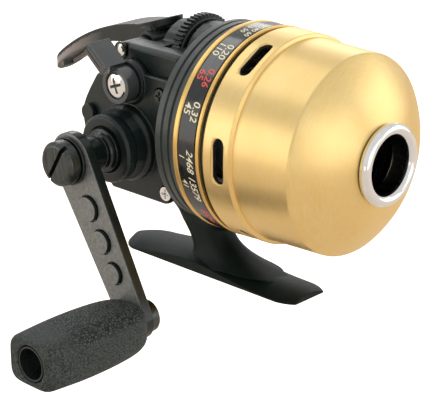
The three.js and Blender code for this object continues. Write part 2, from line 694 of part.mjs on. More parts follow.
place('knob_grip', knobGrip(), RUBBER);
place('knob_core', turnedY([
  [POST_R + RUN_GAP, -46.5],
  [CORE_R, -46.5],
  [CORE_R, -80.2],
  [4.4, -80.2],
  [4.4, -71],
  [POST_R + RUN_GAP, -71],
  [POST_R + RUN_GAP, -46.5],
], KNOB_X, KNOB_Z, 20), DARK_PLASTIC);
place('knob_post', join(
  rodY(4.7, ARM_BACK_Y + RUN_GAP, ARM_BACK_Y + 2.6, KNOB_X, KNOB_Z, 24),
  rodY(POST_R, -73.4, ARM_BACK_Y + 1, KNOB_X, KNOB_Z, 16),
  rodY(4.1, -45.6, -44, KNOB_X, KNOB_Z, 20),
), STEEL);
place('knob_clip', ringY(3.7, POST_R + RUN_GAP, -72.2, -71.3, KNOB_X, KNOB_Z, 16), STEEL);

// ---- Pinion, centre shaft and spinner head ----
const SHAFT_R = 1.4;

function pinionGear() {
  const teeth = slabX(toothedShape(PINION_TEETH, 2.5, 3.6, 0.7, 0.3), -31, -24);
  const journal = rodX(3, -24.5, -8.6, 0, 0, 20);
  return cut(join(teeth, journal), rodX(SHAFT_R + RUN_GAP, -40, 0, 0, 0, 16));
}

place('pinion_gear', pinionGear(), BRASS);
place('centre_shaft', join(
  rodX(SHAFT_R, -45.5, 26, 0, 0, 16),
  rodX(2.8, -46.5, -45, 0, 0, 20),
), STEEL);

const SPINNER_R = 24.6;
const PICKUP_X = 12;

function spinnerHead() {
  const cup = turnedX([
    [SHAFT_R + RUN_GAP, 14],
    [4, 14],
    [4.4, 20],
    [SPINNER_R - 3, 21.2],
    [SPINNER_R - 1.4, 19.6],
    [SPINNER_R - 1.4, 7],
    [SPINNER_R, 7],
    [SPINNER_R, 20.2],
    [SPINNER_R - 1.8, 22.6],
    [12, 23.2],
    [SHAFT_R + RUN_GAP, 23.2],
    [SHAFT_R + RUN_GAP, 14],
  ], 28);
  return cut(cup, rodZ(1.3, 20, 27, PICKUP_X, 0, 12));
}

place('spinner_head', spinnerHead(), STEEL);
place('spinner_nut', ringX(3.2, SHAFT_R + RUN_GAP, 23.5, 25.6, 6), BRASS);
place('pickup_pin', rodZ(1, 19, 26.3, PICKUP_X, 0, 12), CHROME);

// A coil spring wound round the centre shaft.
function coilSpring(radius, wire, rear, front, turns) {
  class Helix extends THREE.Curve {
    getPoint(t, target = new THREE.Vector3()) {
      const angle = t * turns * 2 * Math.PI;
      const x = rear + wire + t * (front - rear - 2 * wire);
      return target.set(x, radius * Math.cos(angle), radius * Math.sin(angle));
    }
  }
  const section = new THREE.Shape().absarc(0, 0, wire, 0, 2 * Math.PI, false);
  return new THREE.ExtrudeGeometry(section, {
    extrudePath: new Helix(),
    steps: turns * 8,
    curveSegments: 3,
  });
}

place('shaft_spring', coilSpring(2.25, 0.4, -44.6, -31.4, 5), STEEL);

// ---- Spool and its drag ----
place('spool', turnedX([
  [HUB_R + RUN_GAP, -13.4],
  [23, -13.4],
  [23, -12.4],
  [9, -12],
  [9, 2.6],
  [21, 3],
  [21, 4.2],
  [HUB_R + RUN_GAP, 4.2],
  [HUB_R + RUN_GAP, -13.4],
], 28), STEEL);
place('fishing_line', turnedX([
  [9.3, -11.6],
  [15.8, -11.6],
  [17.2, -9.5],
  [17.6, -4.5],
  [17.2, 0.4],
  [15.8, 2.3],
  [9.3, 2.3],
  [9.3, -11.6],
], 24), LINE_GREEN);
place('spool_clip', ringX(8.6, HUB_R + RUN_GAP, 4.5, 5.4, 24), STEEL);
place('drag_washer', ringX(18.4, HUB_R + RUN_GAP, -14.6, -13.7, 28), FELT);

function dragWheel() {
  const shape = toothedShape(WHEEL_RIBS, WHEEL_R - 0.6, WHEEL_R, 0.75, 0.55);
  const rim = slabX(shape, WHEEL_REAR_X, WHEEL_REAR_X + WHEEL_WIDTH);
  const chamfer = turnedX([
    [0, WHEEL_REAR_X - 1],
    [WHEEL_R + 0.5, WHEEL_REAR_X - 1],
    [WHEEL_R + 0.5, WHEEL_REAR_X + WHEEL_WIDTH - 1.3],
    [WHEEL_R - 0.8, WHEEL_REAR_X + WHEEL_WIDTH],
    [0, WHEEL_REAR_X + WHEEL_WIDTH],
  ], 24);
  return cut(common(rim, chamfer), rodX(1.7 + RUN_GAP, -40, -20, 0, 0, 16)).translate(0, 0, WHEEL_Z);
}

place('drag_wheel', dragWheel(), BLACK_BODY);
place('drag_screw', rodX(1.7, -34.2, -22.2, 0, WHEEL_Z, 16), BRASS);
place('drag_plunger', rodX(2.2, -21.9, -15.9, 0, WHEEL_Z, 16), BRASS);

// ---- Thumb lever and its pin ----
const PAD_ARC_R = 69;
const PAD_ARC_X = -40.7;
const PAD_TOP_Z = 24.4;
const PAD_FRONT_X = -48.5;
const PAD_TAIL_X = -88.6;
const PAD_TAIL_CORNER = 5;
const PAD_SKIRT = 2.6;
const PAD_SKIN = 1.7;
const TONGUE_LENGTH = 10.4;

// Closed crescent between two depths below the pad's top arc, in side view.
function padCrescent(above, below, frontX, tailX) {
  const centre = [PAD_ARC_X, PAD_TOP_Z - PAD_ARC_R];
  const angleAt = (x, r) => Math.acos(Math.max((x - centre[0]) / r, -0.999));
  const shape = new THREE.Shape();
  const outer = PAD_ARC_R - above;
  const inner = PAD_ARC_R - below;
  shape.absarc(...centre, outer, angleAt(frontX, outer), angleAt(tailX, outer), false);
  shape.absarc(...centre, inner, angleAt(tailX, inner), angleAt(frontX, inner), true);
  shape.closePath();
  return shape;
}

// Plan outline of the lever: rounded nose in front, square tail with rounded corners.
function padPlan(inset) {
  const w = LEVER_HALF_WIDTH - inset;
  const tail = PAD_TAIL_X + inset;
  const corner = PAD_TAIL_CORNER - inset * 0.5;
  const shape = new THREE.Shape();
  shape.moveTo(PAD_FRONT_X, w);
  shape.lineTo(tail + corner, w);
  shape.absarc(tail + corner, w - corner, corner, Math.PI / 2, Math.PI, false);
  shape.absarc(tail + corner, corner - w, corner, Math.PI, 1.5 * Math.PI, false);
  shape.lineTo(PAD_FRONT_X, -w);
  shape.absellipse(PAD_FRONT_X, 0, TONGUE_LENGTH - inset, w, -Math.PI / 2, Math.PI / 2, false, 0);
  return shape;
}

function thumbLever() {
  const reach = LEVER_HALF_WIDTH + 2;
  const pad = common(
    slabY(padCrescent(0, PAD_SKIRT, PAD_FRONT_X + 1, PAD_TAIL_X - 1), -reach, reach, 0, 10),
    slabZ(padPlan(0), -20, 40, 8),
  );
  const hollow = common(
    slabY(padCrescent(PAD_SKIN, PAD_SKIRT + 3, PAD_FRONT_X - 3, PAD_TAIL_X - 1), -reach, reach, 0, 8),
    slabZ(padPlan(1.4), -20, 40, 6),
  );
  const wedge = new THREE.Shape();
  wedge.moveTo(-54, 21.4);
  wedge.lineTo(-48.5, 24);
  wedge.lineTo(-37.5, 27.6);
  wedge.lineTo(-37.5, 25.6);
  wedge.lineTo(-48, 20.9);
  wedge.closePath();
  const tongue = common(slabY(wedge, -reach, reach), slabZ(padPlan(0), -20, 40, 8));
  const finger = new THREE.Shape();
  finger.moveTo(-50.6, 22.6);
  finger.lineTo(-43.6, 23.6);
  finger.lineTo(-41, 18.4);
  finger.lineTo(-45, 14);
  finger.lineTo(-46.8, 6);
  finger.lineTo(-46.8, -2.4);
  finger.lineTo(-49.6, -2.4);
  finger.lineTo(-50, 12);
  finger.closePath();
  const cheek = new THREE.Shape();
  cheek.moveTo(-58, 20);
  cheek.lineTo(-44, 24);
  cheek.lineTo(-39.9, 20.6);
  cheek.lineTo(-41.2, 17);
  cheek.lineTo(-45, 17);
  cheek.closePath();
  return cut(
    join(
      cut(pad, hollow),
      tongue,
      slabY(finger, -2.6, 2.6),
      slabY(cheek, -LEVER_HALF_WIDTH, -LEVER_HALF_WIDTH + 1.6),
      slabY(cheek, LEVER_HALF_WIDTH - 1.6, LEVER_HALF_WIDTH),
      rodY(3.3, -8.6, 8.6, LEVER_PIN_X, LEVER_PIN_Z, 20),
    ),
    rodY(PIN_R + RUN_GAP, -20, 20, LEVER_PIN_X, LEVER_PIN_Z, 16),
  );
}

place('thumb_lever', thumbLever(), BLACK_BODY);
place('lever_pin', join(
  rodY(PIN_R, -18.4, 18.4, LEVER_PIN_X, LEVER_PIN_Z, 14),
  rodY(2.5, -18.9, -17.9, LEVER_PIN_X, LEVER_PIN_Z, 20),
  rodY(2.5, 17.9, 18.9, LEVER_PIN_X, LEVER_PIN_Z, 20),
), CHROME);

// ---- Anti-reverse selector and pawl ----
const SELECTOR_FACE_Y = -26.4;
const SELECTOR_REAR_Y = PLATE_OUTER_Y - 0.9 - RUN_GAP;
const TAB_FACE_Y = -29.4;

function selectorLever() {
  const hub = rodY(5.3, SELECTOR_FACE_Y, SELECTOR_REAR_Y, 0, 0, 24);
  const tab = block(3.9, 12.8, TAB_FACE_Y, SELECTOR_REAR_Y, -4.7, -0.9);
  const grooves = [-3.7, -2.4].map((z) => block(5.5, 13, TAB_FACE_Y - 1, TAB_FACE_Y + 0.3, z, z + 0.4));
  const handle = cut(tab, ...grooves).rotateY(-SELECTOR_TAB_ANGLE);
  const recess = rodY(4, -30, SELECTOR_FACE_Y + 0.9, 0, 0, 24);
  return cut(join(hub, handle), recess).translate(SELECTOR_X, 0, SELECTOR_Z);
}

function pawl() {
  const shaft = rodY(1.9, SELECTOR_REAR_Y + RUN_GAP, -12.8, 0, 0, 14);
  const shape = new THREE.Shape();
  shape.moveTo(0, 3);
  shape.lineTo(PAWL_REACH - 1.3, 1.6);
  shape.lineTo(PAWL_REACH, 0.2);
  shape.lineTo(PAWL_REACH - 1.1, -0.8);
  shape.lineTo(0, -3);
  shape.absarc(0, 0, 3, -Math.PI / 2, -1.5 * Math.PI, true);
  shape.closePath();
  const finger = slabY(shape, -15.4, -13).rotateY(THREE.MathUtils.degToRad(PAWL_REST_ANGLE));
  return join(shaft, finger).translate(SELECTOR_X, 0, SELECTOR_Z);
}

place('selector_lever', selectorLever(), BLACK_BODY);
place('selector_cap', rodY(3.7, SELECTOR_FACE_Y - 0.1, SELECTOR_FACE_Y + 0.6, SELECTOR_X, SELECTOR_Z, 24), CHROME);
place('anti_reverse_pawl', pawl(), STEEL);

const root = new THREE.Group();
root.add(reel);
export default root;
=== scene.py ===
import json
import math

import bmesh
import bpy
import numpy as np
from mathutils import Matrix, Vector


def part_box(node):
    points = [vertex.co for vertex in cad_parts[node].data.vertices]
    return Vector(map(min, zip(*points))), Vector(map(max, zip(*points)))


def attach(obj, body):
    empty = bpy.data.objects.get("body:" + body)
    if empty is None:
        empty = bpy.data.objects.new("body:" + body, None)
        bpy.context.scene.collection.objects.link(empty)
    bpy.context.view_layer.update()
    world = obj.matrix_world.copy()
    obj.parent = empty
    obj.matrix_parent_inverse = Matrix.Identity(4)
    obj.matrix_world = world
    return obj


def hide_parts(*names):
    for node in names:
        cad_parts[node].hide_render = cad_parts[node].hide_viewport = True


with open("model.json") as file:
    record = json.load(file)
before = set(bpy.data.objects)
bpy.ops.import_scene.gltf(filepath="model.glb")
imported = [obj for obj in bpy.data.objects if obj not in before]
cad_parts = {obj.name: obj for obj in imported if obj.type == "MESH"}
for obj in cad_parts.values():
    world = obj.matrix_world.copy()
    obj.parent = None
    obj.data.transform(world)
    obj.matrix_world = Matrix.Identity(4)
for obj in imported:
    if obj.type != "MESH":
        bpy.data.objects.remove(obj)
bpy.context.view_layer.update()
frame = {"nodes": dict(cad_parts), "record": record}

MM = 0.001                          # metres in a millimetre
MERGE = 1e-6                        # metres; closer vertices become one
ROUNDING_STEP = math.radians(11)    # the most that one facet of a rounded corner turns
NODES = frame["nodes"]

cone_low, cone_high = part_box("nose_cone")
RIM_X = cone_low.x
AXIS_Z = (cone_low.z + cone_high.z) / 2
bodies = frame["record"]["behaviour"]["bodies"]
body_of = {node: body for body, nodes in bodies.items() for node in nodes}


# ---------------------------------------------------------------- geometry tools
# Shapes are written in reel millimetres: x along the spool axis from the cone's rear rim,
# y to the side away from the handle, z up from the spool axis.

def to_frame(points):
    points = np.asarray(points, float).reshape(-1, 3) * MM
    points[:, 0] += RIM_X
    points[:, 2] += AXIS_Z
    return points


def rounded(corners):
    """A closed polyline through corners (a, b, radius) with every corner turned into an arc."""
    line = []
    count = len(corners)
    for i, corner in enumerate(corners):
        point = Vector(corner[:2])
        radius = corner[2]
        if radius <= 0:
            line.append(tuple(point))
            continue
        before = Vector(corners[i - 1][:2]) - point
        after = Vector(corners[(i + 1) % count][:2]) - point
        turn = math.pi - before.angle(after)
        if turn < 1e-3:
            line.append(tuple(point))
            continue
        reach = min(radius * math.tan(turn / 2), before.length * 0.48, after.length * 0.48)
        radius = reach / math.tan(turn / 2)
        u = before.normalized()
        v = after.normalized()
        centre = point + (u + v).normalized() * (radius / math.cos(turn / 2))
        start = point + u * reach - centre
        sign = -1 if (u.x * v.y - u.y * v.x) > 0 else 1
        steps = max(2, math.ceil(turn / ROUNDING_STEP))
        for k in range(steps + 1):
            angle = sign * turn * k / steps
            c = math.cos(angle)
            s = math.sin(angle)
            line.append((centre.x + start.x * c - start.y * s,
                         centre.y + start.x * s + start.y * c))
    return line


def new_mesh(name, vertices, faces, merge=MERGE):
    mesh = bpy.data.meshes.new(name)
    mesh.from_pydata([tuple(v) for v in to_frame(vertices)], [], faces)
    obj = bpy.data.objects.new(name, mesh)
    bpy.context.scene.collection.objects.link(obj)
    clean(obj, merge)
    return obj


def clean(obj, merge, dissolve=0.0):
    """Merges vertices, drops slivers and, given an angle, joins faces that are nearly in one plane."""
    b = bmesh.new()
    b.from_mesh(obj.data)
    bmesh.ops.remove_doubles(b, verts=b.verts, dist=merge)
    bmesh.ops.dissolve_degenerate(b, edges=b.edges, dist=MERGE / 10)
    if dissolve:
        bmesh.ops.dissolve_limit(b, angle_limit=dissolve, verts=b.verts, edges=b.edges)
    bmesh.ops.recalc_face_normals(b, faces=b.faces)
    b.to_mesh(obj.data)
    b.free()
    obj.data.update()


def lathe(name, corners, axis="x", at=(0, 0, 0), segments=192):
    """A closed solid of revolution from corners (along, radius, rounding)."""
    line = rounded(corners)
    count = len(line)
    vertices = []
    for k in range(segments):
        angle = 2 * math.pi * k / segments
        for along, radius in line:
            radius = max(radius, 0)
            p = radius * math.cos(angle)
            q = radius * math.sin(angle)
            if axis == "x":
                vertices.append((at[0] + along, at[1] + p, at[2] + q))
            elif axis == "y":
                vertices.append((at[0] + p, at[1] + along, at[2] + q))
            else:
                vertices.append((at[0] + p, at[1] + q, at[2] + along))
    faces = []
    for k in range(segments):
        a = k * count
        b = ((k + 1) % segments) * count
        for i in range(count):
            j = (i + 1) % count
            faces.append((a + i, a + j, b + j, b + i))
    return new_mesh(name, vertices, faces)


def curve_surface(curve):
    """The filled surface of a curve as points and faces."""
    holder = bpy.data.objects.new(curve.name, curve)
    bpy.context.scene.collection.objects.link(holder)
    bpy.context.view_layer.update()
    mesh = bpy.data.meshes.new_from_object(holder.evaluated_get(bpy.context.evaluated_depsgraph_get()))
    bpy.data.objects.remove(holder)
    points = np.array([v.co for v in mesh.vertices], float)
    faces = [tuple(p.vertices) for p in mesh.polygons]
    bpy.data.meshes.remove(mesh)
    return points, faces


def slab(name, outlines, low, high, bevel, axis="y", rings=3):
    """Outlines (first the outer edge, then holes) given thickness along an axis, with rounded edges."""
    curve = bpy.data.curves.new(name, "CURVE")
    curve.dimensions = "2D"
    curve.fill_mode = "BOTH"
    for index, outline in enumerate(outlines):
        area = sum(p[0] * q[1] - q[0] * p[1] for p, q in zip(outline[-1:] + outline[:-1], outline))
        wanted = 1 if index == 0 else -1
        points = outline if area * wanted > 0 else outline[::-1]
        spline = curve.splines.new("POLY")
        spline.points.add(len(points) - 1)
        for slot, point in zip(spline.points, points):
            slot.co = (point[0], point[1], 0, 1)
        spline.use_cyclic_u = True
    curve.extrude = max((high - low) / 2 - bevel, 0.001)
    curve.bevel_depth = bevel
    curve.bevel_resolution = rings
    curve.offset = -bevel
    points, faces = curve_surface(curve)
    middle = (low + high) / 2
    u, v, w = points[:, 0], points[:, 1], points[:, 2] + middle
    placed = {"y": (u, w, v), "x": (w, u, v), "z": (u, v, w)}[axis]
    return new_mesh(name, np.stack(placed, axis=1), faces, merge=2 * MERGE)


def signed_power(value, power):
    return math.copysign(abs(value) ** power, value)


def smoothstep(value, low, high):
    t = min(max((value - low) / (high - low), 0), 1)
    return t * t * (3 - 2 * t)


def stacked(name, rings, loop=False):
    """A closed skin through rings with equal numbers of points, capped or looped to the first."""
    count = len(rings[0])
    vertices = [p for ring in rings for p in ring]
    faces = []
    for level in range(len(rings) if loop else len(rings) - 1):
        a, b = level * count, (level + 1) % len(rings) * count
        for k in range(count):
            n = (k + 1) % count
            faces.append((a + k, a + n, b + n, b + k))
    if not loop:
        faces.append(tuple(range(count)))
        faces.append(tuple((len(rings) - 1) * count + k for k in range(count)))
    return new_mesh(name, vertices, faces)


def rod(name, axis, centre, radius, low, high, segments=48):
    """A plain rod used as a drill."""
    corners = [(low, 0, 0), (low, radius, 0), (high, radius, 0), (high, 0, 0)]
    return lathe(name, corners, axis, centre, segments)


def circle(centre, radius, count):
    turns = [2 * math.pi * k / count for k in range(count)]
    return [(centre[0] + radius * math.cos(t), centre[1] + radius * math.sin(t)) for t in turns]


def bar(centre, angle, half_length, half_width):
    """Outline of a straight bar, turned by an angle in degrees: the blade of a screwdriver."""
    c, s = math.cos(math.radians(angle)), math.sin(math.radians(angle))
    corners = [(i * half_length, j * half_width) for i, j in ((-1, -1), (1, -1), (1, 1), (-1, 1))]
    return [(centre[0] + u * c - v * s, centre[1] + u * s + v * c) for u, v in corners]


def bake(obj):
    """Applies the modifiers of obj."""
    bpy.context.view_layer.update()
    graph = bpy.context.evaluated_depsgraph_get()
    mesh = bpy.data.meshes.new_from_object(
        obj.evaluated_get(graph), preserve_all_data_layers=True, depsgraph=graph)
    obj.modifiers.clear()
    obj.data = mesh


def cut(obj, tool, operation="DIFFERENCE"):
    """Subtracts, adds or intersects the tool, which is used up."""
    modifier = obj.modifiers.new("cut", "BOOLEAN")
    modifier.object = tool
    modifier.operation = operation
    modifier.solver = "EXACT"
    bake(obj)
    bpy.data.objects.remove(tool)


def cad_copy(node, name, dissolve=math.radians(0.4)):
    obj = bpy.data.objects.new(name, NODES[node].data.copy())
    bpy.context.scene.collection.objects.link(obj)
    obj.data.materials.clear()
    clean(obj, 2 * MERGE, dissolve)
    return obj


def soften(obj, width, angle=32):
    """Bevels the edges that turn by more than the angle."""
    modifier = obj.modifiers.new("edge", "BEVEL")
    modifier.width = width * MM
    modifier.segments = 2
    modifier.limit_method = "ANGLE"
    modifier.angle_limit = math.radians(angle)
    modifier.use_clamp_overlap = True
    modifier.miter_outer = "MITER_ARC"
    bake(obj)


def cast(obj, voxel, rounds, keep):
    """Turns a sharp solid into a cast-looking one: fine even skin, every edge slightly rounded.
    """
    modifier = obj.modifiers.new("skin", "REMESH")
    modifier.mode = "VOXEL"
    modifier.voxel_size = voxel * MM
    modifier.use_smooth_shade = True
    modifier = obj.modifiers.new("round", "SMOOTH")
    modifier.factor = 0.5
    modifier.iterations = rounds
    modifier = obj.modifiers.new("thin", "DECIMATE")
    modifier.ratio = keep
    bake(obj)


def finish_shape(obj, sharp):
    """Smooth shading; with an angle given, edges that turn by more stay crisp."""
    obj.data.shade_smooth()
    if sharp:
        obj.data.set_sharp_from_angle(angle=math.radians(sharp))
        modifier = obj.modifiers.new("normals", "WEIGHTED_NORMAL")
        modifier.keep_sharp = True
        modifier.weight = 60
        bake(obj)


def paint(obj, *looks, choose=None):
    """Gives obj its materials; choose(centre mm, normal) picks one for each face."""
    obj.data.materials.clear()
    for one in looks:
        obj.data.materials.append(one)
    for polygon in obj.data.polygons:
        c = polygon.center
        centre = ((c.x - RIM_X) / MM, c.y / MM, (c.z - AXIS_Z) / MM)
        polygon.material_index = choose(centre, polygon.normal) if choose else 0


def hand_over(obj, sharp, body, node, slot, *looks, choose=None):
    """Shades and paints a shaped piece, hangs it under its body's empty and hides the CAD node it stands for;
    the slot is not used.
    """
    finish_shape(obj, sharp)
    paint(obj, *looks, choose=choose)
    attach(obj, body)
    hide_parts(node)


def off_axis(point, axis):
    """Distance from an axis that runs along y."""
    return math.hypot(point[0] - axis[0], point[2] - axis[1])


# ---------------------------------------------------------------- materials

class Look:
    """A principled material with procedural detail in millimetre coordinates of the reel."""

    def __init__(self, name, **sockets):
        self.material = bpy.data.materials.new(name)
        self.material.use_nodes = True
        self.tree = self.material.node_tree
        self.shader = self.tree.nodes["Principled BSDF"]
        for key, value in sockets.items():
            self.shader.inputs[key.replace("_", " ")].default_value = value
        self.place = self.tree.nodes.new("ShaderNodeTexCoord").outputs["Object"]

    def node(self, kind, *links, **settings):
        node = self.tree.nodes.new(kind)
        for key, value in settings.items():
            setattr(node, key, value)
        for index, source in enumerate(links):
            if source is None:
                continue
            if isinstance(source, bpy.types.NodeSocket):
                self.tree.links.new(source, node.inputs[index])
            else:
                node.inputs[index].default_value = source
        return node

    def math(self, operation, a, b=None, clamp=False):
        links = (a,) if b is None else (a, b)
        return self.node("ShaderNodeMath", *links, operation=operation, use_clamp=clamp).outputs[0]

    def millimetres(self, scale=(1, 1, 1)):
        origin = (-RIM_X, 0, -AXIS_Z)
        shift = self.node("ShaderNodeVectorMath", self.place, origin, operation="ADD").outputs[0]
        factor = tuple(s * 1000 for s in scale)
        return self.node("ShaderNodeVectorMath", shift, factor, operation="MULTIPLY").outputs[0]

    def turned(self, across, along, axis="x"):
        """Coordinates for lathe or brush marks that run around an axis."""
        parts = self.node("ShaderNodeSeparateXYZ", self.millimetres()).outputs
        order = {"x": (0, 1, 2), "y": (1, 0, 2), "z": (2, 0, 1)}[axis]
        height, p, q = (parts[i] for i in order)
        squares = self.math("ADD", self.math("MULTIPLY", p, p), self.math("MULTIPLY", q, q))
        radius = self.math("SQRT", squares)
        angle = self.math("ARCTAN2", q, p)
        c = self.math("MULTIPLY", self.math("COSINE", angle), along)
        s = self.math("MULTIPLY", self.math("SINE", angle), along)
        slanted = self.math("ADD", height, self.math("MULTIPLY", radius, 1.7))
        profile = self.math("MULTIPLY", slanted, across)
        return self.node("ShaderNodeCombineXYZ", profile, c, s).outputs[0]

    def noise(self, vector, scale=1.0, detail=3.0, roughness=0.55):
        node = self.node("ShaderNodeTexNoise", noise_dimensions="3D")
        self.tree.links.new(vector, node.inputs["Vector"])
        node.inputs["Scale"].default_value = scale
        node.inputs["Detail"].default_value = detail
        node.inputs["Roughness"].default_value = roughness
        return node.outputs[0]

    def cells(self, vector, scale=1.0, feature="F1"):
        node = self.node("ShaderNodeTexVoronoi", feature=feature)
        self.tree.links.new(vector, node.inputs["Vector"])
        node.inputs["Scale"].default_value = scale
        return node.outputs["Distance"]

    def remap(self, value, low, high, to_low, to_high):
        node = self.node("ShaderNodeMapRange")
        self.tree.links.new(value, node.inputs["Value"])
        numbers = {"From Min": low, "From Max": high, "To Min": to_low, "To Max": to_high}
        for key, number in numbers.items():
            node.inputs[key].default_value = number
        return node.outputs[0]

    def ramp(self, value, *stops):
        node = self.node("ShaderNodeValToRGB", value)
        elements = node.color_ramp.elements
        while len(elements) < len(stops):
            elements.new(0.5)
        for element, (position, colour) in zip(elements, stops):
            element.position = position
            element.color = (*colour, 1)
        return node.outputs[0]

    def into(self, socket, source):
        self.tree.links.new(source, self.shader.inputs[socket])

    def bump(self, height, strength, distance):
        node = self.node("ShaderNodeBump")
        node.inputs["Strength"].default_value = strength
        node.inputs["Distance"].default_value = distance * MM
        self.tree.links.new(height, node.inputs["Height"])
        previous = self.shader.inputs["Normal"]
        if previous.is_linked:
            self.tree.links.new(previous.links[0].from_socket, node.inputs["Normal"])
        self.into("Normal", node.outputs[0])


def brushed_gold(name, light, deep):
    look = Look(name, Metallic=1.0, Anisotropic=0.6, Anisotropic_Rotation=0.25)
    tangent = look.node("ShaderNodeTangent", direction_type="RADIAL", axis="X")
    look.into("Tangent", tangent.outputs[0])
    grain = look.noise(look.turned(7.0, 9.0), 1.0, 4.0, 0.6)
    cloud = look.noise(look.millimetres((0.1, 0.1, 0.1)), 1.0, 2.0)
    mixed = look.math("ADD", look.math("MULTIPLY", grain, 0.7), look.math("MULTIPLY", cloud, 0.3))
    look.into("Base Color", look.ramp(mixed, (0.3, deep), (0.7, light)))
    look.into("Roughness", look.remap(grain, 0.3, 0.7, 0.32, 0.46))
    look.bump(grain, 0.16, 0.02)
    return look.material


def satin_black(name, low, high, rough, grain=2.2, strength=0.25, sheen=0.5):
    look = Look(name, Specular_IOR_Level=sheen)
    fine = look.noise(look.millimetres(), grain, 3.0)
    cloud = look.noise(look.millimetres((0.12, 0.12, 0.12)), 1.0, 2.0)
    look.into("Base Color", look.ramp(cloud, (0.35, low), (0.65, high)))
    look.into("Roughness", look.remap(fine, 0.3, 0.7, *rough))
    look.bump(fine, strength, 0.08)
    return look.material


def metal(name, low, high, rough, scratches=3.0, axis="x", bump=0.08):
    look = Look(name, Metallic=1.0)
    marks = look.noise(look.turned(scratches, 4.0, axis), 1.0, 4.0)
    look.into("Base Color", look.ramp(marks, (0.3, low), (0.7, high)))
    look.into("Roughness", look.remap(marks, 0.3, 0.7, *rough))
    look.bump(marks, bump, 0.02)
    return look.material


def arm_face_look():
    look = Look("arm_face_nickel", Metallic=0.35)
    mottle = look.noise(look.millimetres(), 0.9, 5.0, 0.65)
    look.into("Base Color", look.ramp(mottle, (0.3, (0.15, 0.158, 0.150)), (0.7, (0.30, 0.306, 0.294))))
    look.into("Roughness", look.remap(mottle, 0.3, 0.7, 0.28, 0.44))
    look.bump(mottle, 0.12, 0.05)
    return look.material


def rubber_look():
    """Speckled rubber, with a leather grain on the top of its outer end."""
    look = Look("knob_rubber", Specular_IOR_Level=0.25)
    parts = look.node("ShaderNodeSeparateXYZ", look.millimetres()).outputs
    mottle = look.noise(look.millimetres(), 1.9, 4.0, 0.75)
    leather = look.cells(look.millimetres((1.0, 0.75, 1.0)), 1.25, "DISTANCE_TO_EDGE")
    wrinkle = look.remap(leather, 0.03, 0.26, 0.0, 1.0)
    up = look.remap(parts[2], -44.2, -43.0, 0.0, 1.0)
    near = look.remap(parts[1], -74.0, -69.0, 0.0, 1.0)
    patch = look.math("MULTIPLY", up, near, clamp=True)
    plain = look.remap(mottle, 0.38, 0.66, 0.0, 0.95)
    grained = look.math("MULTIPLY", wrinkle, 0.85)
    inverse = look.math("SUBTRACT", 1.0, patch)
    plain_part = look.math("MULTIPLY", plain, inverse)
    grained_part = look.math("MULTIPLY", grained, patch)
    tone = look.math("ADD", plain_part, grained_part, clamp=True)
    height = look.math("ADD", look.math("MULTIPLY", mottle, 0.6), look.math("MULTIPLY", leather, patch))
    look.into("Base Color", look.ramp(tone, (0.0, (0.006, 0.013, 0.0115)), (1.0, (0.112, 0.128, 0.118))))
    look.into("Roughness", look.remap(mottle, 0.3, 0.7, 0.45, 0.7))
    look.bump(height, 1.0, 0.5)
    return look.material


def gloss_label():
    look = Look("label_gloss_black", Coat_Weight=0.15, Coat_Roughness=0.06)
    cloud = look.noise(look.turned(0.6, 6.0), 1.0, 2.0)
    look.into("Base Color", look.ramp(cloud, (0.3, (0.010, 0.010, 0.012)), (0.7, (0.022, 0.021, 0.024))))
    look.into("Roughness", look.remap(cloud, 0.3, 0.7, 0.12, 0.22))
    look.bump(cloud, 0.05, 0.03)
    return look.material


def printed(name, low, high):
    look = Look(name)
    speck = look.noise(look.millimetres(), 5.0, 2.0)
    look.into("Base Color", look.ramp(speck, (0.3, low), (0.7, high)))
    look.into("Roughness", look.remap(speck, 0.3, 0.7, 0.3, 0.45))
    return look.material


def line_look():
    look = Look("monofilament_line", Transmission_Weight=0.35, IOR=1.5)
    turns = look.noise(look.turned(6.0, 2.0), 1.0, 2.0)
    look.into("Base Color", look.ramp(turns, (0.3, (0.55, 0.62, 0.60)), (0.7, (0.80, 0.85, 0.82))))
    look.into("Roughness", look.remap(turns, 0.3, 0.7, 0.15, 0.35))
    look.bump(turns, 0.5, 0.15)
    return look.material


def felt_look():
    look = Look("felt_washer", Sheen_Weight=0.3)
    fuzz = look.noise(look.millimetres(), 6.0, 5.0, 0.8)
    look.into("Base Color", look.ramp(fuzz, (0.3, (0.20, 0.19, 0.17)), (0.7, (0.38, 0.36, 0.32))))
    look.into("Roughness", look.remap(fuzz, 0.3, 0.7, 0.8, 1.0))
    look.bump(fuzz, 0.8, 0.2)
    return look.material


def skirt_painted_sheen_look():
    """Black moulding whose outer skirt pales towards the tail: painted sheen standing in for light bounced up
    from the floor.
    """
    look = Look("lever_skirt_painted_sheen", Specular_IOR_Level=0.5)
    parts = look.node("ShaderNodeSeparateXYZ", look.millimetres()).outputs
    fine = look.noise(look.millimetres(), 1.6, 3.0)
    # painted sheen: the base colour pales towards the tail in place of floor bounce light
    tail = look.remap(parts[0], -64.0, -82.0, 0.0, 1.0)
    tone = look.math("MULTIPLY", tail, look.remap(fine, 0.2, 0.8, 0.8, 1.0), clamp=True)
    look.into("Base Color", look.ramp(tone, (0.0, (0.010, 0.014, 0.013)), (1.0, (0.42, 0.36, 0.34))))
    look.into("Roughness", look.remap(fine, 0.3, 0.7, 0.28, 0.4))
    look.bump(fine, 0.12, 0.08)
    return look.material


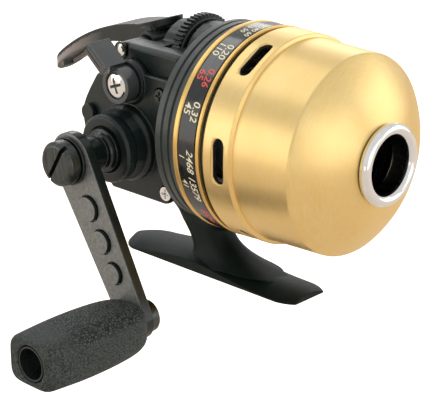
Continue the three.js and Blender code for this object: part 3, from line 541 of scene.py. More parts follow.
GOLD = brushed_gold("brushed_gold", (0.99, 0.77, 0.37), (0.91, 0.63, 0.23))
GOLD_TRIM = brushed_gold("polished_gold_trim", (0.95, 0.66, 0.24), (0.86, 0.54, 0.16))
SHELL_INSIDE = satin_black(
    "shell_inside_coating", (0.008, 0.007, 0.006), (0.02, 0.016, 0.012), (0.5, 0.7))
BLACK = satin_black(
    "satin_black_paint", (0.006, 0.013, 0.0118), (0.012, 0.021, 0.0192), (0.26, 0.42), sheen=0.45)
SKIRT_PAINTED_SHEEN = skirt_painted_sheen_look()
# the body's black paint with a fine grain bump, but with a lighter grey base as painted sheen for the light
# the grainy flange catches
FLANGE_GRAIN_PAINTED_SHEEN = satin_black(
    "flange_grain_and_painted_sheen", (0.042, 0.052, 0.048), (0.070, 0.080, 0.074), (0.34, 0.48), 3.0, 0.6, 0.5)
FOOT_BLACK = satin_black(
    "foot_grain_paint", (0.0035, 0.009, 0.0075), (0.007, 0.014, 0.012), (0.42, 0.55), 3.0, 0.5, 0.17)
SLATE = satin_black(
    "selector_slate", (0.040, 0.047, 0.049), (0.062, 0.069, 0.071), (0.16, 0.24), 0.6, 0.03, 1.0)
GLOSS_SIDE = satin_black(
    "arm_side_black", (0.003, 0.008, 0.007), (0.007, 0.013, 0.012), (0.14, 0.26), 0.8, 0.06, 0.5)
DARK_PLASTIC = satin_black(
    "dark_plastic", (0.006, 0.011, 0.010), (0.013, 0.018, 0.017), (0.24, 0.36), 1.5, 0.12, 0.5)
CHROME = metal("chrome", (0.84, 0.845, 0.83), (0.96, 0.965, 0.95), (0.08, 0.17))
STEEL = metal("bright_steel", (0.50, 0.50, 0.48), (0.72, 0.71, 0.68), (0.18, 0.34), 2.0, "y")
TURNED_STEEL = metal(
    "turned_steel", (0.50, 0.50, 0.48), (0.66, 0.655, 0.63), (0.22, 0.34), 3.5, "x", 0.04)
DARK_STEEL = metal(
    "blackened_steel", (0.045, 0.052, 0.050), (0.12, 0.128, 0.122), (0.22, 0.42), 1.2, "y", 0.2)
BRASS = metal("brass", (0.55, 0.36, 0.12), (0.80, 0.58, 0.24), (0.2, 0.35))
BRONZE = metal("bronze", (0.36, 0.20, 0.09), (0.55, 0.34, 0.16), (0.3, 0.45))
ARM_FACE = arm_face_look()
RUBBER = rubber_look()
LABEL = gloss_label()
GOLD_PRINT = printed("pale_gold_print", (0.97, 0.86, 0.55), (1.0, 0.96, 0.74))
RED_PRINT = printed("red_print", (0.85, 0.07, 0.05), (0.98, 0.14, 0.09))
LINE = line_look()
FELT = felt_look()


# ---------------------------------------------------------------- nose cone and rings

SLOT_X = 5.2
SLOT_COUNT = 6


def cone_outside():
    """The outer profile: a barely tapered band, a step, the barrel and the domed nose."""
    band_end = 9.05
    crown = []
    a, b, c = Vector((28.65, 27.75)), Vector((35.5, 20.9)), Vector((37.9, 11.0))
    for k in range(13):
        t = k / 12
        p = a * (1 - t) ** 2 + b * 2 * t * (1 - t) + c * t * t
        crown.append((p.x, p.y, 0.0))
    band = [(x, 30.0 - 0.25 * x / band_end, 0.0) for x in (1.2, 2.1, 2.7, 5.2, 7.7, 8.3)]
    barrel = [(band_end, 29.75, 0.3), (9.45, 28.68, 0.25), (28.1, 28.1, 2.3)]
    return [(0, 30.0, 0.3)] + band + barrel + crown


def slot_cutter(angle):
    """A capsule through the shell wall whose mouth flares slightly, bent around the spool axis."""
    half_length, half_width, bend_radius, around = 6.4, 1.85, 29.8, 56
    rings = []
    for radius, flare in ((27.0, 0.0), (29.45, 0.0), (29.66, 0.06), (29.82, 0.2), (29.95, 0.38), (31.0, 0.8)):
        r = half_width + flare
        ring = []
        for k in range(around):
            turn = 2 * math.pi * k / around
            shift = math.copysign(half_length - half_width, math.cos(turn))
            s = shift + r * math.cos(turn)
            theta = angle + s / bend_radius
            ring.append((SLOT_X + r * math.sin(turn), radius * math.cos(theta), radius * math.sin(theta)))
        rings.append(ring)
    return stacked("slot_cutter", rings)


def inside_shell(centre, normal):
    """1 for the coated inside and the lower walls of the slots, 0 for the gold outside."""
    x, y, z = centre
    radius = math.hypot(y, z)
    outward = (normal.y * y + normal.z * z) / max(radius, 1e-6)
    if outward < -0.25 or (x > 25 and normal.x < -0.3):
        return 1
    if abs(x - SLOT_X) < 2.0 and radius < 29.45 and outward < 0.6:
        return 1
    return 0


cone_wall = [
    (37.9, 10.4, 0.1), (36.9, 10.4, 0.1), (36.7, 11.0, 0.3), (33.3, 19.9, 3.0),
    (27.4, 26.7, 2.0), (9.0, 27.4, 0.2), (8.6, 28.4, 0.2), (0, 28.6, 0.2),
]
shell = lathe("nose_cone_shell", cone_outside() + cone_wall, segments=288)
for k in range(SLOT_COUNT):
    cut(shell, slot_cutter(math.radians(180 + 360 // SLOT_COUNT * k)))
hand_over(shell, 38, "nose", "nose_cone", "gold_shell", GOLD, SHELL_INSIDE, choose=inside_shell)

guide_profile = [(34.3, 8.15, 0.2), (39.0, 8.15, 0.3)]
for k in range(25):
    turn = math.radians(-75 + 210 * k / 24)
    guide_profile.append((39.4 + 1.65 * math.cos(turn), 9.85 + 1.65 * math.sin(turn), 0))
guide_profile += [(38.25, 10.0, 0.1), (34.3, 10.0, 0.2)]
guide = lathe("line_guide_ring", guide_profile, segments=144)
hand_over(guide, 50, "nose", "guide_ring", "chrome", CHROME)


# ---------------------------------------------------------------- body rings and label

RING_SEAT = 29.05
RING_SEGMENTS = 240
INK_RADIUS = 29.97


def band(name, low, high, crown, rounding):
    """A hoop around the body between two depths."""
    corners = [(low, RING_SEAT, 0.1), (low, crown, rounding), (high, crown, rounding), (high, RING_SEAT, 0.1)]
    return lathe(name, corners, segments=RING_SEGMENTS)


for node, low, high in (("trim_ring_rear", -11.2, -9.5), ("trim_ring_front", -2.8, -1.6)):
    hand_over(band(node + "_gold", low, high, 30.1, 0.35), 50, "frame", node, "gold_shell", GOLD_TRIM)
hand_over(band("label_band", -9.2, -3.1, 29.95, 0.15), 50, "frame", "label_ring", "label_black", LABEL)


def wrapped_text(text, angle, along, height, slant=0.0):
    """Digits wrapped on the label band, as vertices and faces.

    They read down the handle side, with their tops forward.
    """
    curve = bpy.data.curves.new("digits", "FONT")
    curve.body = text
    curve.size = height * 1.42
    curve.align_x = "CENTER"
    curve.shear = slant
    curve.resolution_u = 4
    curve.offset = height * 0.012
    flat, faces = curve_surface(curve)
    vertices = []
    for across, up, _ in flat:
        theta = angle + across / INK_RADIUS
        vertices.append((along + up, -INK_RADIUS * math.sin(theta), INK_RADIUS * math.cos(theta)))
    return vertices, faces


def print_on_label(name, look, entries):
    """Prints entries of (text, angle, place along the axis, height, slant)."""
    vertices = []
    faces = []
    for text, angle, along, height, slant in entries:
        more, polygons = wrapped_text(text, math.radians(angle), along, height, slant)
        faces += [tuple(i + len(vertices) for i in polygon) for polygon in polygons]
        vertices += more
    obj = new_mesh(name, vertices, faces, merge=MERGE / 10)
    modifier = obj.modifiers.new("ink", "SOLIDIFY")
    modifier.thickness = 0.03 * MM
    modifier.offset = 0
    bake(obj)
    paint(obj, look)
    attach(obj, "frame")


print_on_label("label_print_gold", GOLD_PRINT, [
    ("0.20", 31, -5.9, 2.35, 0.15), ("110", 30, -8.75, 2.35, 0.15),
    ("0.32", 67.5, -5.9, 2.35, 0.15), ("45", 66.5, -8.75, 2.35, 0.15),
    ("2468", 94, -5.9, 2.3, 0.3), ("13579", 110, -5.9, 2.3, 0.3),
    ("1", 92, -8.6, 1.9, 0.2), ("41", 108, -8.6, 1.9, 0.2),
    ("20 40 60", 8, -5.2, 1.7, 0.2), ("30 50", 8, -7.9, 1.7, 0.2),
])
print_on_label("label_print_red", RED_PRINT, [
    ("0.26", 48.5, -5.9, 2.35, 0.15), ("65", 47.5, -8.75, 2.35, 0.15), ("80246", 132, -6.2, 2.0, 0.3),
])

DRAG_Z = 17.2                       # height of the drag screw above the spool axis
SCREW_X = -12.7                     # the foot's front screw
flange = [
    (-19.25, 16.0, 0.3), (-19.25, 28.6, 0.5), (-18.9, 29.1, 0.4), (-16.95, 29.1, 0.15), (-16.8, 28.5, 0.15),
    (-16.2, 28.5, 0.15), (-16.05, 29.1, 0.15), (-14.25, 29.1, 0.15), (-14.1, 28.5, 0.15), (-13.5, 28.5, 0.15),
    (-13.35, 29.1, 0.15), (-11.75, 29.1, 0.2), (-11.5, 28.75, 0.1), (-0.4, 28.75, 0.25), (-0.4, 27.2, 0.25),
    (-15.0, 27.2, 0.8), (-15.0, 7.0, 0.6), (-4.0, 7.0, 0.4), (-4.0, 5.0, 0.3), (6.0, 5.0, 0.3),
    (6.0, 3.2, 0.2), (-19.25, 3.2, 0.2),
]
body_front = lathe("front_frame_casting", flange, segments=RING_SEGMENTS)
cut(body_front, rod("drill", "x", (0, 0, DRAG_Z), 2.6, -21, -14))
for side in (-1, 1):
    cut(body_front, rod("drill", "x", (0, 12.5 * side, -17.6), 1.5, -21, -14))
cut(body_front, rod("drill", "z", (SCREW_X, 0, 0), 1.95, -31, -26))
cut(body_front, rod("drill", "x", (0, 0, 0), 5.0, -21, 7))
hand_over(body_front, 40, "frame", "front_frame", "black_body", FLANGE_GRAIN_PAINTED_SHEEN)


# ---------------------------------------------------------------- cast body

for node, voxel, rounds in (("gear_housing", 0.28, 5), ("side_plate", 0.2, 4)):
    casting = cad_copy(node, node + "_casting", dissolve=0)
    cast(casting, voxel, rounds, 0.35)
    hand_over(casting, 0, body_of[node], node, "black_body", BLACK)

FOOT_X, FOOT_HALF, FOOT_BOTTOM = -21.6, 35, -46.5


def foot_plate():
    """Low crowned bar, thin at both ends, raised under the stem."""
    rings = []
    for i in range(141):
        along = -1 + i / 70
        rise = max(math.cos((along + 0.14) * 1.4), 0) ** 4
        rear = max(0, -along - 0.8) / 0.2
        front = max(0, along - 0.8) / 0.2
        half = 8.6 * math.sqrt(1 - 0.86 * rear ** 2 - 0.5 * front ** 2)
        edge = 0.45 + 2.65 * rise
        spine = 3.2 + 1.3 * rise - 1.4 * along ** 6
        ring = []
        for k in range(37):
            across = -1 + k / 18
            top = FOOT_BOTTOM + edge + (spine - edge) * (1 - across ** 2)
            ring.append((FOOT_X + FOOT_HALF * along, half * across, top))
        for k in range(37):
            across = 1 - k / 18
            ring.append((FOOT_X + FOOT_HALF * along, half * across, FOOT_BOTTOM))
        rings.append(ring)
    return stacked("reel_foot_casting", rings)


def foot_stem():
    """Blade that flares from the crown up to the body."""
    rings = []
    for i in range(73):
        rise = i / 72
        rear = -29.8 - 18 * rise ** 2.3 - 1.5 * (1 - rise) ** 12 - 2.2 * math.sin(math.pi * rise) ** 2
        front = -18.5 + 21 * (1 - rise) ** 6 + 9 * smoothstep(rise, 0.46, 0.62)
        half = 4.6 + 3.4 * (1 - rise) ** 8 + 8.5 * rise ** 4
        ring = []
        for k in range(96):
            turn = 2 * math.pi * k / 96
            x = (front + rear) / 2 + (front - rear) / 2 * signed_power(math.cos(turn), 0.8)
            ring.append((x, half * signed_power(math.sin(turn), 0.8), -43.6 + 21.5 * rise))
        rings.append(ring)
    return stacked("foot_stem", rings)


foot = foot_plate()
cut(foot, foot_stem(), "UNION")
cut(foot, rod("saddle", "x", (0, 0, 0), 29.4, -19.55, -10, 192))
cut(foot, rod("saddle", "x", (0, 0, 0), 30.4, -11.5, 12, 192))
cut(foot, rod("drill", "z", (SCREW_X, 0, 0), 1.6, -33.2, -20))
cut(foot, rod("drill", "z", (-25.0, 0, 0), 1.6, -31.6, -18))
cast(foot, 0.18, 2, 0.45)
hand_over(foot, 0, "frame", "reel_foot", "black_body", FOOT_BLACK)


# ---------------------------------------------------------------- thumb lever

LEVER_HALF = 6.3
PAD_RADIUS, PAD_TOP_X, PAD_TOP_Z = 69, -40.7, 24.4      # the arc along the top of the pad
PAD_NOSE, PAD_TAIL = -48.5, -88.6
PIN_X, PIN_Z = -43.0, 19.8
SHARP = 0.001                                           # a slab without rounded edges


def crescent(above, below, start, end, deepen=0.0):
    """Side outline between two depths under the pad's top arc.

    The lower edge can deepen towards the front.
    """
    def height(x, depth):
        return PAD_TOP_Z - PAD_RADIUS + math.sqrt((PAD_RADIUS - depth) ** 2 - (x - PAD_TOP_X) ** 2)

    upper = [(x, height(x, above)) for x in np.linspace(start, end, 60)]
    lower = []
    for x in np.linspace(end, start, 60):
        share = (x - end) / (start - end)
        lower.append((x, height(x, below) - deepen * share ** 1.5))
    return upper + lower


def pad_depth(centre):
    """Depth of a point below the pad's top arc."""
    return PAD_RADIUS - math.hypot(centre[0] - PAD_TOP_X, centre[2] - PAD_TOP_Z + PAD_RADIUS)


def painted_sheen_on_skirt(centre, normal):
    """1 for the side walls of the pad's tail half, which take the painted sheen."""
    return int(centre[0] < -63 and normal.z < 0.15 and abs(normal.y) > 0.3 and pad_depth(centre) > 1.0)


def lever_plan(inset):
    """Outline of the pad from above: a blunt tail and a long rounded nose."""
    half = LEVER_HALF - inset
    tail = PAD_TAIL + inset
    corner = 5.4 - inset
    points = [(PAD_NOSE, half)]
    for k in range(17):
        turn = math.pi / 2 * (1 + k / 16)
        points.append((tail + corner + corner * math.cos(turn), half - corner + corner * math.sin(turn)))
    for k in range(17):
        turn = math.pi * (1 + k / 32)
        points.append((tail + corner + corner * math.cos(turn), -half + corner + corner * math.sin(turn)))
    for k in range(41):
        turn = math.pi * (k / 40 - 0.5)
        points.append((PAD_NOSE + (10.4 - inset) * math.cos(turn), half * math.sin(turn)))
    return points


def crossed(name, side, plan):
    """The solid that has both a side outline and a plan outline."""
    obj = slab(name, [side], -9, 9, SHARP)
    cut(obj, slab("plan", [plan], -20, 40, SHARP, axis="z"), "INTERSECT")
    return obj


lever = crossed("thumb_lever_moulding", crescent(0, 2.3, -47.5, -89.4, 4.2), lever_plan(0))
cut(lever, crossed("hollow", crescent(1.3, 11, -51.5, -89.4), lever_plan(1.4)))
WEDGE = [(-54, 21.4), (-48.5, 24), (-37.5, 27.6), (-37.5, 25.6), (-48, 20.9)]
cut(lever, crossed("tongue", WEDGE, lever_plan(0)), "UNION")
FINGER = [
    (-50.6, 22.6), (-43.6, 23.6), (-41, 18.4), (-45, 14),
    (-46.8, 6), (-46.8, -2.4), (-49.6, -2.4), (-50, 12),
]
cut(lever, slab("finger", [FINGER], -2.6, 2.6, SHARP), "UNION")
CHEEK = [(-58, 20), (-44, 24), (-39.9, 20.6), (-41.2, 17), (-45, 17)]
for side in (-1, 1):
    low, high = sorted((side * LEVER_HALF, side * (LEVER_HALF - 1.6)))
    cut(lever, slab("cheek", [CHEEK], low, high, SHARP), "UNION")
cut(lever, rod("hub", "y", (PIN_X, 0, PIN_Z), 3.3, -8.6, 8.6, 64), "UNION")
cut(lever, rod("pin_hole", "y", (PIN_X, 0, PIN_Z), 2.2, -20, 20))
cast(lever, 0.17, 2, 0.5)
# the skirt faces of the tail half take the painted sheen material
hand_over(lever, 0, "lever", "thumb_lever", "black_body", DARK_PLASTIC, SKIRT_PAINTED_SHEEN, choose=painted_sheen_on_skirt)


# ---------------------------------------------------------------- handle

CRANK = (-38.0, -6.2)
KNOB = (-14.1, -47.74)
ARM_ANGLE = math.atan2(KNOB[1] - CRANK[1], KNOB[0] - CRANK[0])
PLUGS = [(14.4, 3.6), (24.3, 3.4), (33.7, 3.1)]         # distance along the arm, radius


def arm_outline(big, small):
    """Two round ends of different sizes with straight sides between them."""
    length = math.dist(CRANK, KNOB)
    lean = math.acos((big - small) / length)
    points = []
    for k in range(49):
        angle = ARM_ANGLE + lean + (2 * math.pi - 2 * lean) * k / 48
        points.append((CRANK[0] + big * math.cos(angle), CRANK[1] + big * math.sin(angle)))
    for k in range(41):
        angle = ARM_ANGLE - lean + 2 * lean * k / 40
        points.append((KNOB[0] + small * math.cos(angle), KNOB[1] + small * math.sin(angle)))
    return points


def along_arm(distance):
    return (CRANK[0] + distance * math.cos(ARM_ANGLE), CRANK[1] + distance * math.sin(ARM_ANGLE))


def turned_on(point, name, corners, segments=96):
    """A part turned about the axis that runs along y through a point (x, z)."""
    return lathe(name, corners, "y", (point[0], 0, point[1]), segments)


def off_face(centre, normal):
    """0 for the face that looks away from the reel, 1 for the rest."""
    return 0 if normal.y < -0.75 else 1


arm_holes = [circle(along_arm(d), r + 0.15, 48) for d, r in PLUGS]
arm_holes += [circle(CRANK, 2.9, 40), circle(KNOB, 2.8, 40)]
arm = slab("crank_arm_bar", [arm_outline(7.9, 5.6)] + arm_holes, -43.4, -40.2, 0.4)
hand_over(arm, 60, "handle", "crank_arm", "arm_grey", ARM_FACE, GLOSS_SIDE, choose=off_face)

for number, (distance, radius) in enumerate(PLUGS, 1):
    node = f"arm_plug_{number}"
    disc = [(-44.5, 0, 0), (-44.5, radius, 0.25), (-40.5, radius, 0.2), (-40.5, 0, 0)]
    plug = turned_on(along_arm(distance), node + "_disc", disc, 72)
    hand_over(plug, 50, "handle", node, "arm_grey", ARM_FACE, GLOSS_SIDE, choose=off_face)

washer = turned_on(CRANK, "handle_washer_disc", [
    (-44.6, 2.2, 0.1), (-44.6, 6.9, 0.25), (-43.7, 6.9, 0.25), (-43.7, 2.2, 0.1),
])
hand_over(washer, 50, "handle", "handle_washer", "black_body", GLOSS_SIDE)

head = turned_on(CRANK, "handle_screw_head", [
    (-49.0, 0, 0), (-49.0, 5.4, 1.2), (-48.0, 6.4, 0.5), (-44.9, 6.4, 0.3),
    (-44.9, 1.6, 0.2), (-33.0, 1.6, 0.3), (-33.0, 0, 0),
])
cut(head, slab("blade", [bar(CRANK, 58.6, 8, 0.65)], -50.0, -47.4, 0.02))
soften(head, 0.12, 40)
hand_over(head, 40, "handle", "handle_screw", "steel", DARK_STEEL, GLOSS_SIDE,
          choose=lambda c, n: int(-48.7 < c[1] < -47.0 and off_axis(c, CRANK) < 5.8))

collar = turned_on(CRANK, "crank_collar_turned", [
    (-39.9, 2.9, 0.1), (-39.9, 4.7, 0.3), (-34.5, 4.9, 1.0), (-33.3, 4.5, 0.3), (-32.9, 5.4, 0.3),
    (-32.1, 5.7, 0.3), (-31.8, 5.2, 0.2), (-31.4, 6.3, 0.3), (-30.1, 6.3, 0.3), (-30.1, 2.9, 0.1),
])
hand_over(collar, 40, "handle", "crank_collar", "black_body", GLOSS_SIDE)


# ---------------------------------------------------------------- knob

def grip_half_sizes(share):
    """Half width and half height of the grip at a share of its length."""
    flare = 1 - math.exp(-14 * share)
    swell = 1 + 0.08 * math.sin(math.pi * share)
    close = math.sqrt(1 - 0.12 * (max(0, share - 0.95) / 0.05) ** 2)
    half_x = (6.9 + 2.0 * flare - 0.5 * share) * swell * close
    half_z = (6.1 + 1.0 * flare - 0.4 * share) * swell * close
    return half_x, half_z


def grip():
    """Squarish moulded grip: sides, scooped end face, bore."""
    inner, outer, around, steps, face_steps = -44.2, -80.4, 168, 96, 10
    mouth = 6.0
    rings = []
    for k in range(steps + 1):
        share = k / steps
        half_x, half_z = grip_half_sizes(share)
        ring = []
        for a in range(around):
            t = 2 * math.pi * a / around
            c, s = math.cos(t), math.sin(t)
            squareness = 2 / (2.9 + 1.7 * share)
            ridge = math.exp(-((t - math.radians(38)) / 0.16) ** 2) * 0.28
            widen = 1 + ridge * 0.10
            x = half_x * signed_power(c, squareness) * widen
            z = half_z * signed_power(s, squareness) * widen
            scoop = math.exp(-((math.remainder(t - math.radians(-18), 2 * math.pi)) / 0.62) ** 6)
            drop = 4.6 * scoop
            y = inner + (outer - inner) * share + drop * max(0, share - 0.7) / 0.3
            ring.append((KNOB[0] + x, y, KNOB[1] + z))
        rings.append(ring)
    last = rings[-1]
    for k in range(1, face_steps + 1):
        f = k / face_steps
        ring = []
        for a in range(around):
            t = 2 * math.pi * a / around
            px, py, pz = last[a]
            hx = KNOB[0] + mouth * math.cos(t)
            hz = KNOB[1] + mouth * math.sin(t)
            depth = (py - outer) * (1 - f) ** 1.6
            ring.append((px + (hx - px) * f, outer + depth, pz + (hz - pz) * f))
        rings.append(ring)
    bore = [
        (5.75, outer), (5.45, outer + 0.02), (5.25, outer + 0.25), (5.2, outer + 0.6),
        (5.2, outer + 6), (5.2, inner - 0.4), (5.35, inner - 0.1), (5.6, inner),
    ]
    for radius, y in bore:
        rings.append([(x, y, z) for x, z in circle(KNOB, radius, around)])
    return stacked("knob_grip_moulding", rings, loop=True)


knob = grip()
modifier = knob.modifiers.new("round", "SMOOTH")
modifier.factor = 0.5
modifier.iterations = 2
bake(knob)
hand_over(knob, 0, "knob", "knob_grip", "rubber", RUBBER)

core = turned_on(KNOB, "knob_core_bush", [
    (-80.2, 4.35, 0.1), (-80.2, 4.9, 0.2), (-46.5, 4.9, 0.2),
    (-46.5, 2.7, 0.2), (-71.0, 2.7, 0.2), (-71.0, 4.35, 0.2),
])
hand_over(core, 50, "knob", "knob_core", "dark_plastic", DARK_PLASTIC)

post = turned_on(KNOB, "knob_post_rivet", [
    (-73.4, 0, 0), (-73.4, 2.4, 0.3), (-45.6, 2.4, 0.1), (-45.6, 4.1, 0.2), (-44.0, 4.1, 0.2),
    (-44.0, 2.4, 0.1), (-39.9, 2.4, 0.1), (-39.9, 4.7, 0.2), (-37.1, 4.7, 0.5), (-36.7, 3.6, 0.3),
    (-36.7, 0, 0),
])
hand_over(post, 50, "handle", "knob_post", "steel", STEEL, DARK_STEEL,
          choose=lambda c, n: int(c[1] > -39.9 and n.y < 0.3))


# ---------------------------------------------------------------- drag wheel

def ribbed_outline(radius, ribs, depth):
    """Outline of a knurled wheel around the drag screw."""
    points = []
    pitch = 2 * math.pi / ribs
    for k in range(ribs):
        base = 2 * math.pi * k / ribs
        for share, r in ((0.0, radius), (0.36, radius), (0.5, radius - depth), (0.86, radius - depth)):
            turn = base + share * pitch
            points.append((r * math.cos(turn), DRAG_Z + r * math.sin(turn)))
    return points


wheel_outlines = [ribbed_outline(12.25, 52, 0.75), circle((0, DRAG_Z), 2.0, 40)]
wheel = slab("drag_wheel_ribbed", wheel_outlines, -30.3, -27.3, 0.12, axis="x", rings=1)
rim = [(-27.6, 2.0, 0.1), (-27.6, 11.2, 0.1), (-26.6, 11.2, 0.45), (-26.6, 2.0, 0.1)]
cut(wheel, lathe("wheel_rim", rim, "x", (0, 0, DRAG_Z), 144), "UNION")
hand_over(wheel, 35, "drag", "drag_wheel", "dark_plastic", DARK_PLASTIC)


# ---------------------------------------------------------------- spool group (seen with the cone off)

rotor = lathe("spinner_head_cup", [
    (7.0, 23.2, 0.15), (7.0, 24.6, 0.3), (20.2, 24.6, 0.9), (22.4, 22.6, 0.9), (23.2, 12.0, 0.6),
    (23.2, 4.0, 0.4), (23.2, 1.7, 0.1), (14.0, 1.7, 0.1), (14.0, 4.0, 0.3), (20.0, 4.4, 0.4),
    (21.2, 21.6, 0.6), (19.6, 23.2, 0.3),
])
cut(rotor, rod("drill", "z", (12.0, 0, 0), 1.1, 18.5, 27.0))
hand_over(rotor, 40, "shaft", "spinner_head", "steel", TURNED_STEEL)

reel_spool = lathe("spool_turned", [
    (-13.4, 7.3, 0.2), (-13.4, 23.0, 0.35), (-12.4, 23.0, 0.35), (-12.0, 9.0, 0.3),
    (2.6, 9.0, 0.3), (3.0, 21.0, 0.3), (4.2, 21.0, 0.4), (4.2, 7.3, 0.2),
])
hand_over(reel_spool, 50, "spool", "spool", "steel", TURNED_STEEL)


def wound_line():
    """Profile of the wound line: side by side turns over a slight bulge."""
    turns, steps_per_turn = 44, 4
    corners = [(-11.6, 9.3, 0), (-11.6, 15.8, 0)]
    for k in range(turns * steps_per_turn + 1):
        share = k / (turns * steps_per_turn)
        along = -11.55 + 13.8 * share
        bulge = 17.45 - 1.5 * abs(2 * share - 1) ** 3
        corners.append((along, bulge + 0.14 * abs(math.sin(math.pi * turns * share)), 0))
    return corners + [(2.3, 15.8, 0), (2.3, 9.3, 0)]


winding = lathe("wound_fishing_line", wound_line(), segments=144)
hand_over(winding, 0, "spool", "fishing_line", "line", LINE)


# ---------------------------------------------------------------- selector cap and lever pin

SELECTOR = (-37.3, 11.8)
cap = turned_on(SELECTOR, "selector_cap_screw", [
    (-26.5, 0, 0), (-26.45, 1.8, 0.8), (-26.15, 3.3, 0.5),
    (-25.95, 3.7, 0.12), (-25.8, 3.7, 0.05), (-25.8, 0, 0),
])
for tilt in (20, 110):
    cut(cap, slab("cross", [bar(SELECTOR, tilt, 2.3, 0.42)], -27.5, -26.05, 0.02))
hand_over(cap, 40, "selector", "selector_cap", "chrome", CHROME, GLOSS_SIDE,
          choose=lambda c, n: int(c[1] > -26.2 and n.y < -0.9 and off_axis(c, SELECTOR) < 2.4))

pin_end = [
    (18.75, 2.1, 0.1), (18.9, 2.5, 0.15), (18.9, 1.75, 0.1),
    (18.55, 1.65, 0.1), (18.9, 0.9, 0.4), (18.9, 0, 0),
]
pin = turned_on((PIN_X, PIN_Z), "lever_pin_headed", [(-a, r, c) for a, r, c in pin_end[::-1]] + pin_end, 72)
# outside the groove the chrome pin is painted black as painted shade of the dark recess around its ends; only
# the middle of each end stays chrome
hand_over(pin, 40, "frame", "lever_pin", "chrome", CHROME, GLOSS_SIDE,
          choose=lambda c, n: int(off_axis(c, (PIN_X, PIN_Z)) > 1.7))


# ---------------------------------------------------------------- smaller pieces, kept from the CAD

# the look of each and the width of its eased edges

SMALL = {
    "side_screw_upper": (DARK_STEEL, 0.12), "side_screw_lower": (CHROME, 0.12), "pivot_cap": (BLACK, 0.3),
    "selector_lever": (SLATE, 0.3),
    "frame_screw_right": (STEEL, 0.1), "frame_screw_left": (STEEL, 0.1), "foot_screw_front": (STEEL, 0.1),
    "foot_screw_rear": (STEEL, 0.1), "pinion_bearing": (BRONZE, 0.15), "crank_bushing": (BRONZE, 0.15),
    "crank_end_cap": (BLACK, 0.2), "crank_shaft": (STEEL, 0.15), "drive_gear": (BRASS, 0.06),
    "ratchet_wheel": (STEEL, 0.06), "knob_clip": (STEEL, 0.08), "pinion_gear": (BRASS, 0.05),
    "centre_shaft": (TURNED_STEEL, 0.12), "spinner_nut": (BRASS, 0.15), "pickup_pin": (CHROME, 0.1),
    "shaft_spring": (TURNED_STEEL, 0.0), "spool_clip": (TURNED_STEEL, 0.08), "drag_washer": (FELT, 0.1),
    "drag_screw": (BRASS, 0.15), "drag_plunger": (BRASS, 0.15), "anti_reverse_pawl": (STEEL, 0.12),
}
SLOT_OF = {
    CHROME.name: "chrome", STEEL.name: "steel", TURNED_STEEL.name: "steel", DARK_STEEL.name: "steel",
    BRASS.name: "brass", BRONZE.name: "bronze", FELT.name: "felt",
    BLACK.name: "black_body", SLATE.name: "black_body",
}
for node, (look, edge) in SMALL.items():
    piece = cad_copy(node, node + "_part")
    if edge:
        soften(piece, edge)
    hand_over(piece, 38, body_of[node], node, SLOT_OF[look.name], look)


# ---------------------------------------------------------------- studio

FLOOR_Z = -0.075                    # metres, like everything in this section
FLOOR_HALF = 6
LIGHT_DISTANCE = 0.8
CAMERA_DISTANCE = 0.471
TARGET = Vector((-0.00134, 0, 0.02044))
AZIMUTH = math.radians(43.49)
ELEVATION = math.radians(20.44)


def seen_or_lit(tree, seen, lit):
    """A brightness that is one number to the camera and another to everything else."""
    path = tree.nodes.new("ShaderNodeLightPath")
    mix = tree.nodes.new("ShaderNodeMapRange")
    tree.links.new(path.outputs["Is Camera Ray"], mix.inputs["Value"])
    mix.inputs["To Min"].default_value = lit
    mix.inputs["To Max"].default_value = seen
    return mix.outputs[0]


floor_look = bpy.data.materials.new("pale_floor")
floor_look.use_nodes = True
floor_tree = floor_look.node_tree
floor_shader = floor_tree.nodes["Principled BSDF"]
floor_shader.inputs["Base Color"].default_value = (0.62, 0.52, 0.43, 1)
floor_shader.inputs["Roughness"].default_value = 0.9
floor_shader.inputs["Emission Color"].default_value = (1, 1, 1, 1)
floor_tree.links.new(seen_or_lit(floor_tree, 1.0, 0.16), floor_shader.inputs["Emission Strength"])
floor_corners = [(i * FLOOR_HALF, j * FLOOR_HALF, FLOOR_Z) for i, j in ((-1, -1), (1, -1), (1, 1), (-1, 1))]
floor_mesh = bpy.data.meshes.new("floor")
floor_mesh.from_pydata(floor_corners, [], [(0, 1, 2, 3)])
floor_mesh.materials.append(floor_look)
floor = bpy.data.objects.new("floor", floor_mesh)
bpy.context.scene.collection.objects.link(floor)

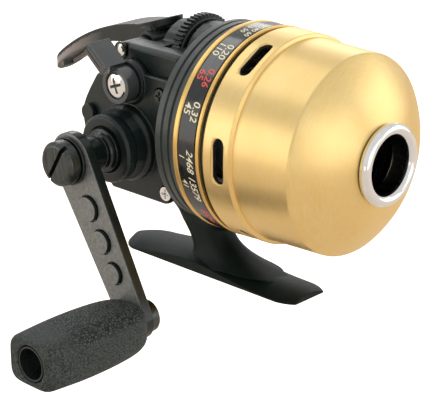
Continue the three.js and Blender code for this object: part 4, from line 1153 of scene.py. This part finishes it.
scene = bpy.context.scene
world = bpy.data.worlds.new("studio")
scene.world = world
world.use_nodes = True
world_tree = world.node_tree
background = world_tree.nodes["Background"]
background.inputs[0].default_value = (1, 1, 1, 1)
world_tree.links.new(seen_or_lit(world_tree, 1.05, 0.70), background.inputs[1])
scene.view_settings.view_transform = "Standard"


def softbox(name, direction, size, radiance, colour=(1, 1, 1)):
    """A rectangular soft light of a given brightness, aimed at the middle of the reel."""
    light = bpy.data.lights.new(name, "AREA")
    light.shape = "RECTANGLE"
    light.size, light.size_y = size
    light.energy = radiance * math.pi * size[0] * size[1]
    light.color = colour
    obj = bpy.data.objects.new(name, light)
    place = TARGET + Vector((0, 0, 0.02)) + Vector(direction).normalized() * LIGHT_DISTANCE
    obj.location = place
    obj.rotation_euler = (TARGET - place).to_track_quat("-Z", "Y").to_euler()
    scene.collection.objects.link(obj)


softbox("high_left", (-0.645, 0.0, 0.70), (0.62, 0.15), 2.3)
softbox("back_left", (-0.645, 0.68, 0.33), (0.7, 0.2), 2.0)
softbox("low_left", (-0.645, -0.69, 0.06), (0.42, 0.56), 1.4, (1, 0.95, 0.86))
softbox("front_right", (0.95, -0.05, -0.05), (0.7, 0.8), 0.95)
softbox("right_back", (0.6, 0.72, 0.2), (0.6, 0.5), 1.0)
softbox("front_low", (0.35, -0.9, -0.02), (0.35, 0.12), 1.0)

BACK = Vector((
    math.sin(AZIMUTH) * math.cos(ELEVATION), -math.cos(AZIMUTH) * math.cos(ELEVATION), math.sin(ELEVATION),
))
RIGHT = Vector((math.cos(AZIMUTH), math.sin(AZIMUTH), 0))
UP = BACK.cross(RIGHT)
AIM = TARGET - RIGHT * 0.00028 + UP * 0.00024

camera = bpy.data.cameras.new("camera")
camera.lens = 133.33
camera.sensor_width = 36
eye = bpy.data.objects.new("camera", camera)
eye.location = AIM + BACK * CAMERA_DISTANCE
eye.rotation_euler = (AIM - eye.location).to_track_quat("-Z", "Y").to_euler()
scene.collection.objects.link(eye)
scene.camera = eye
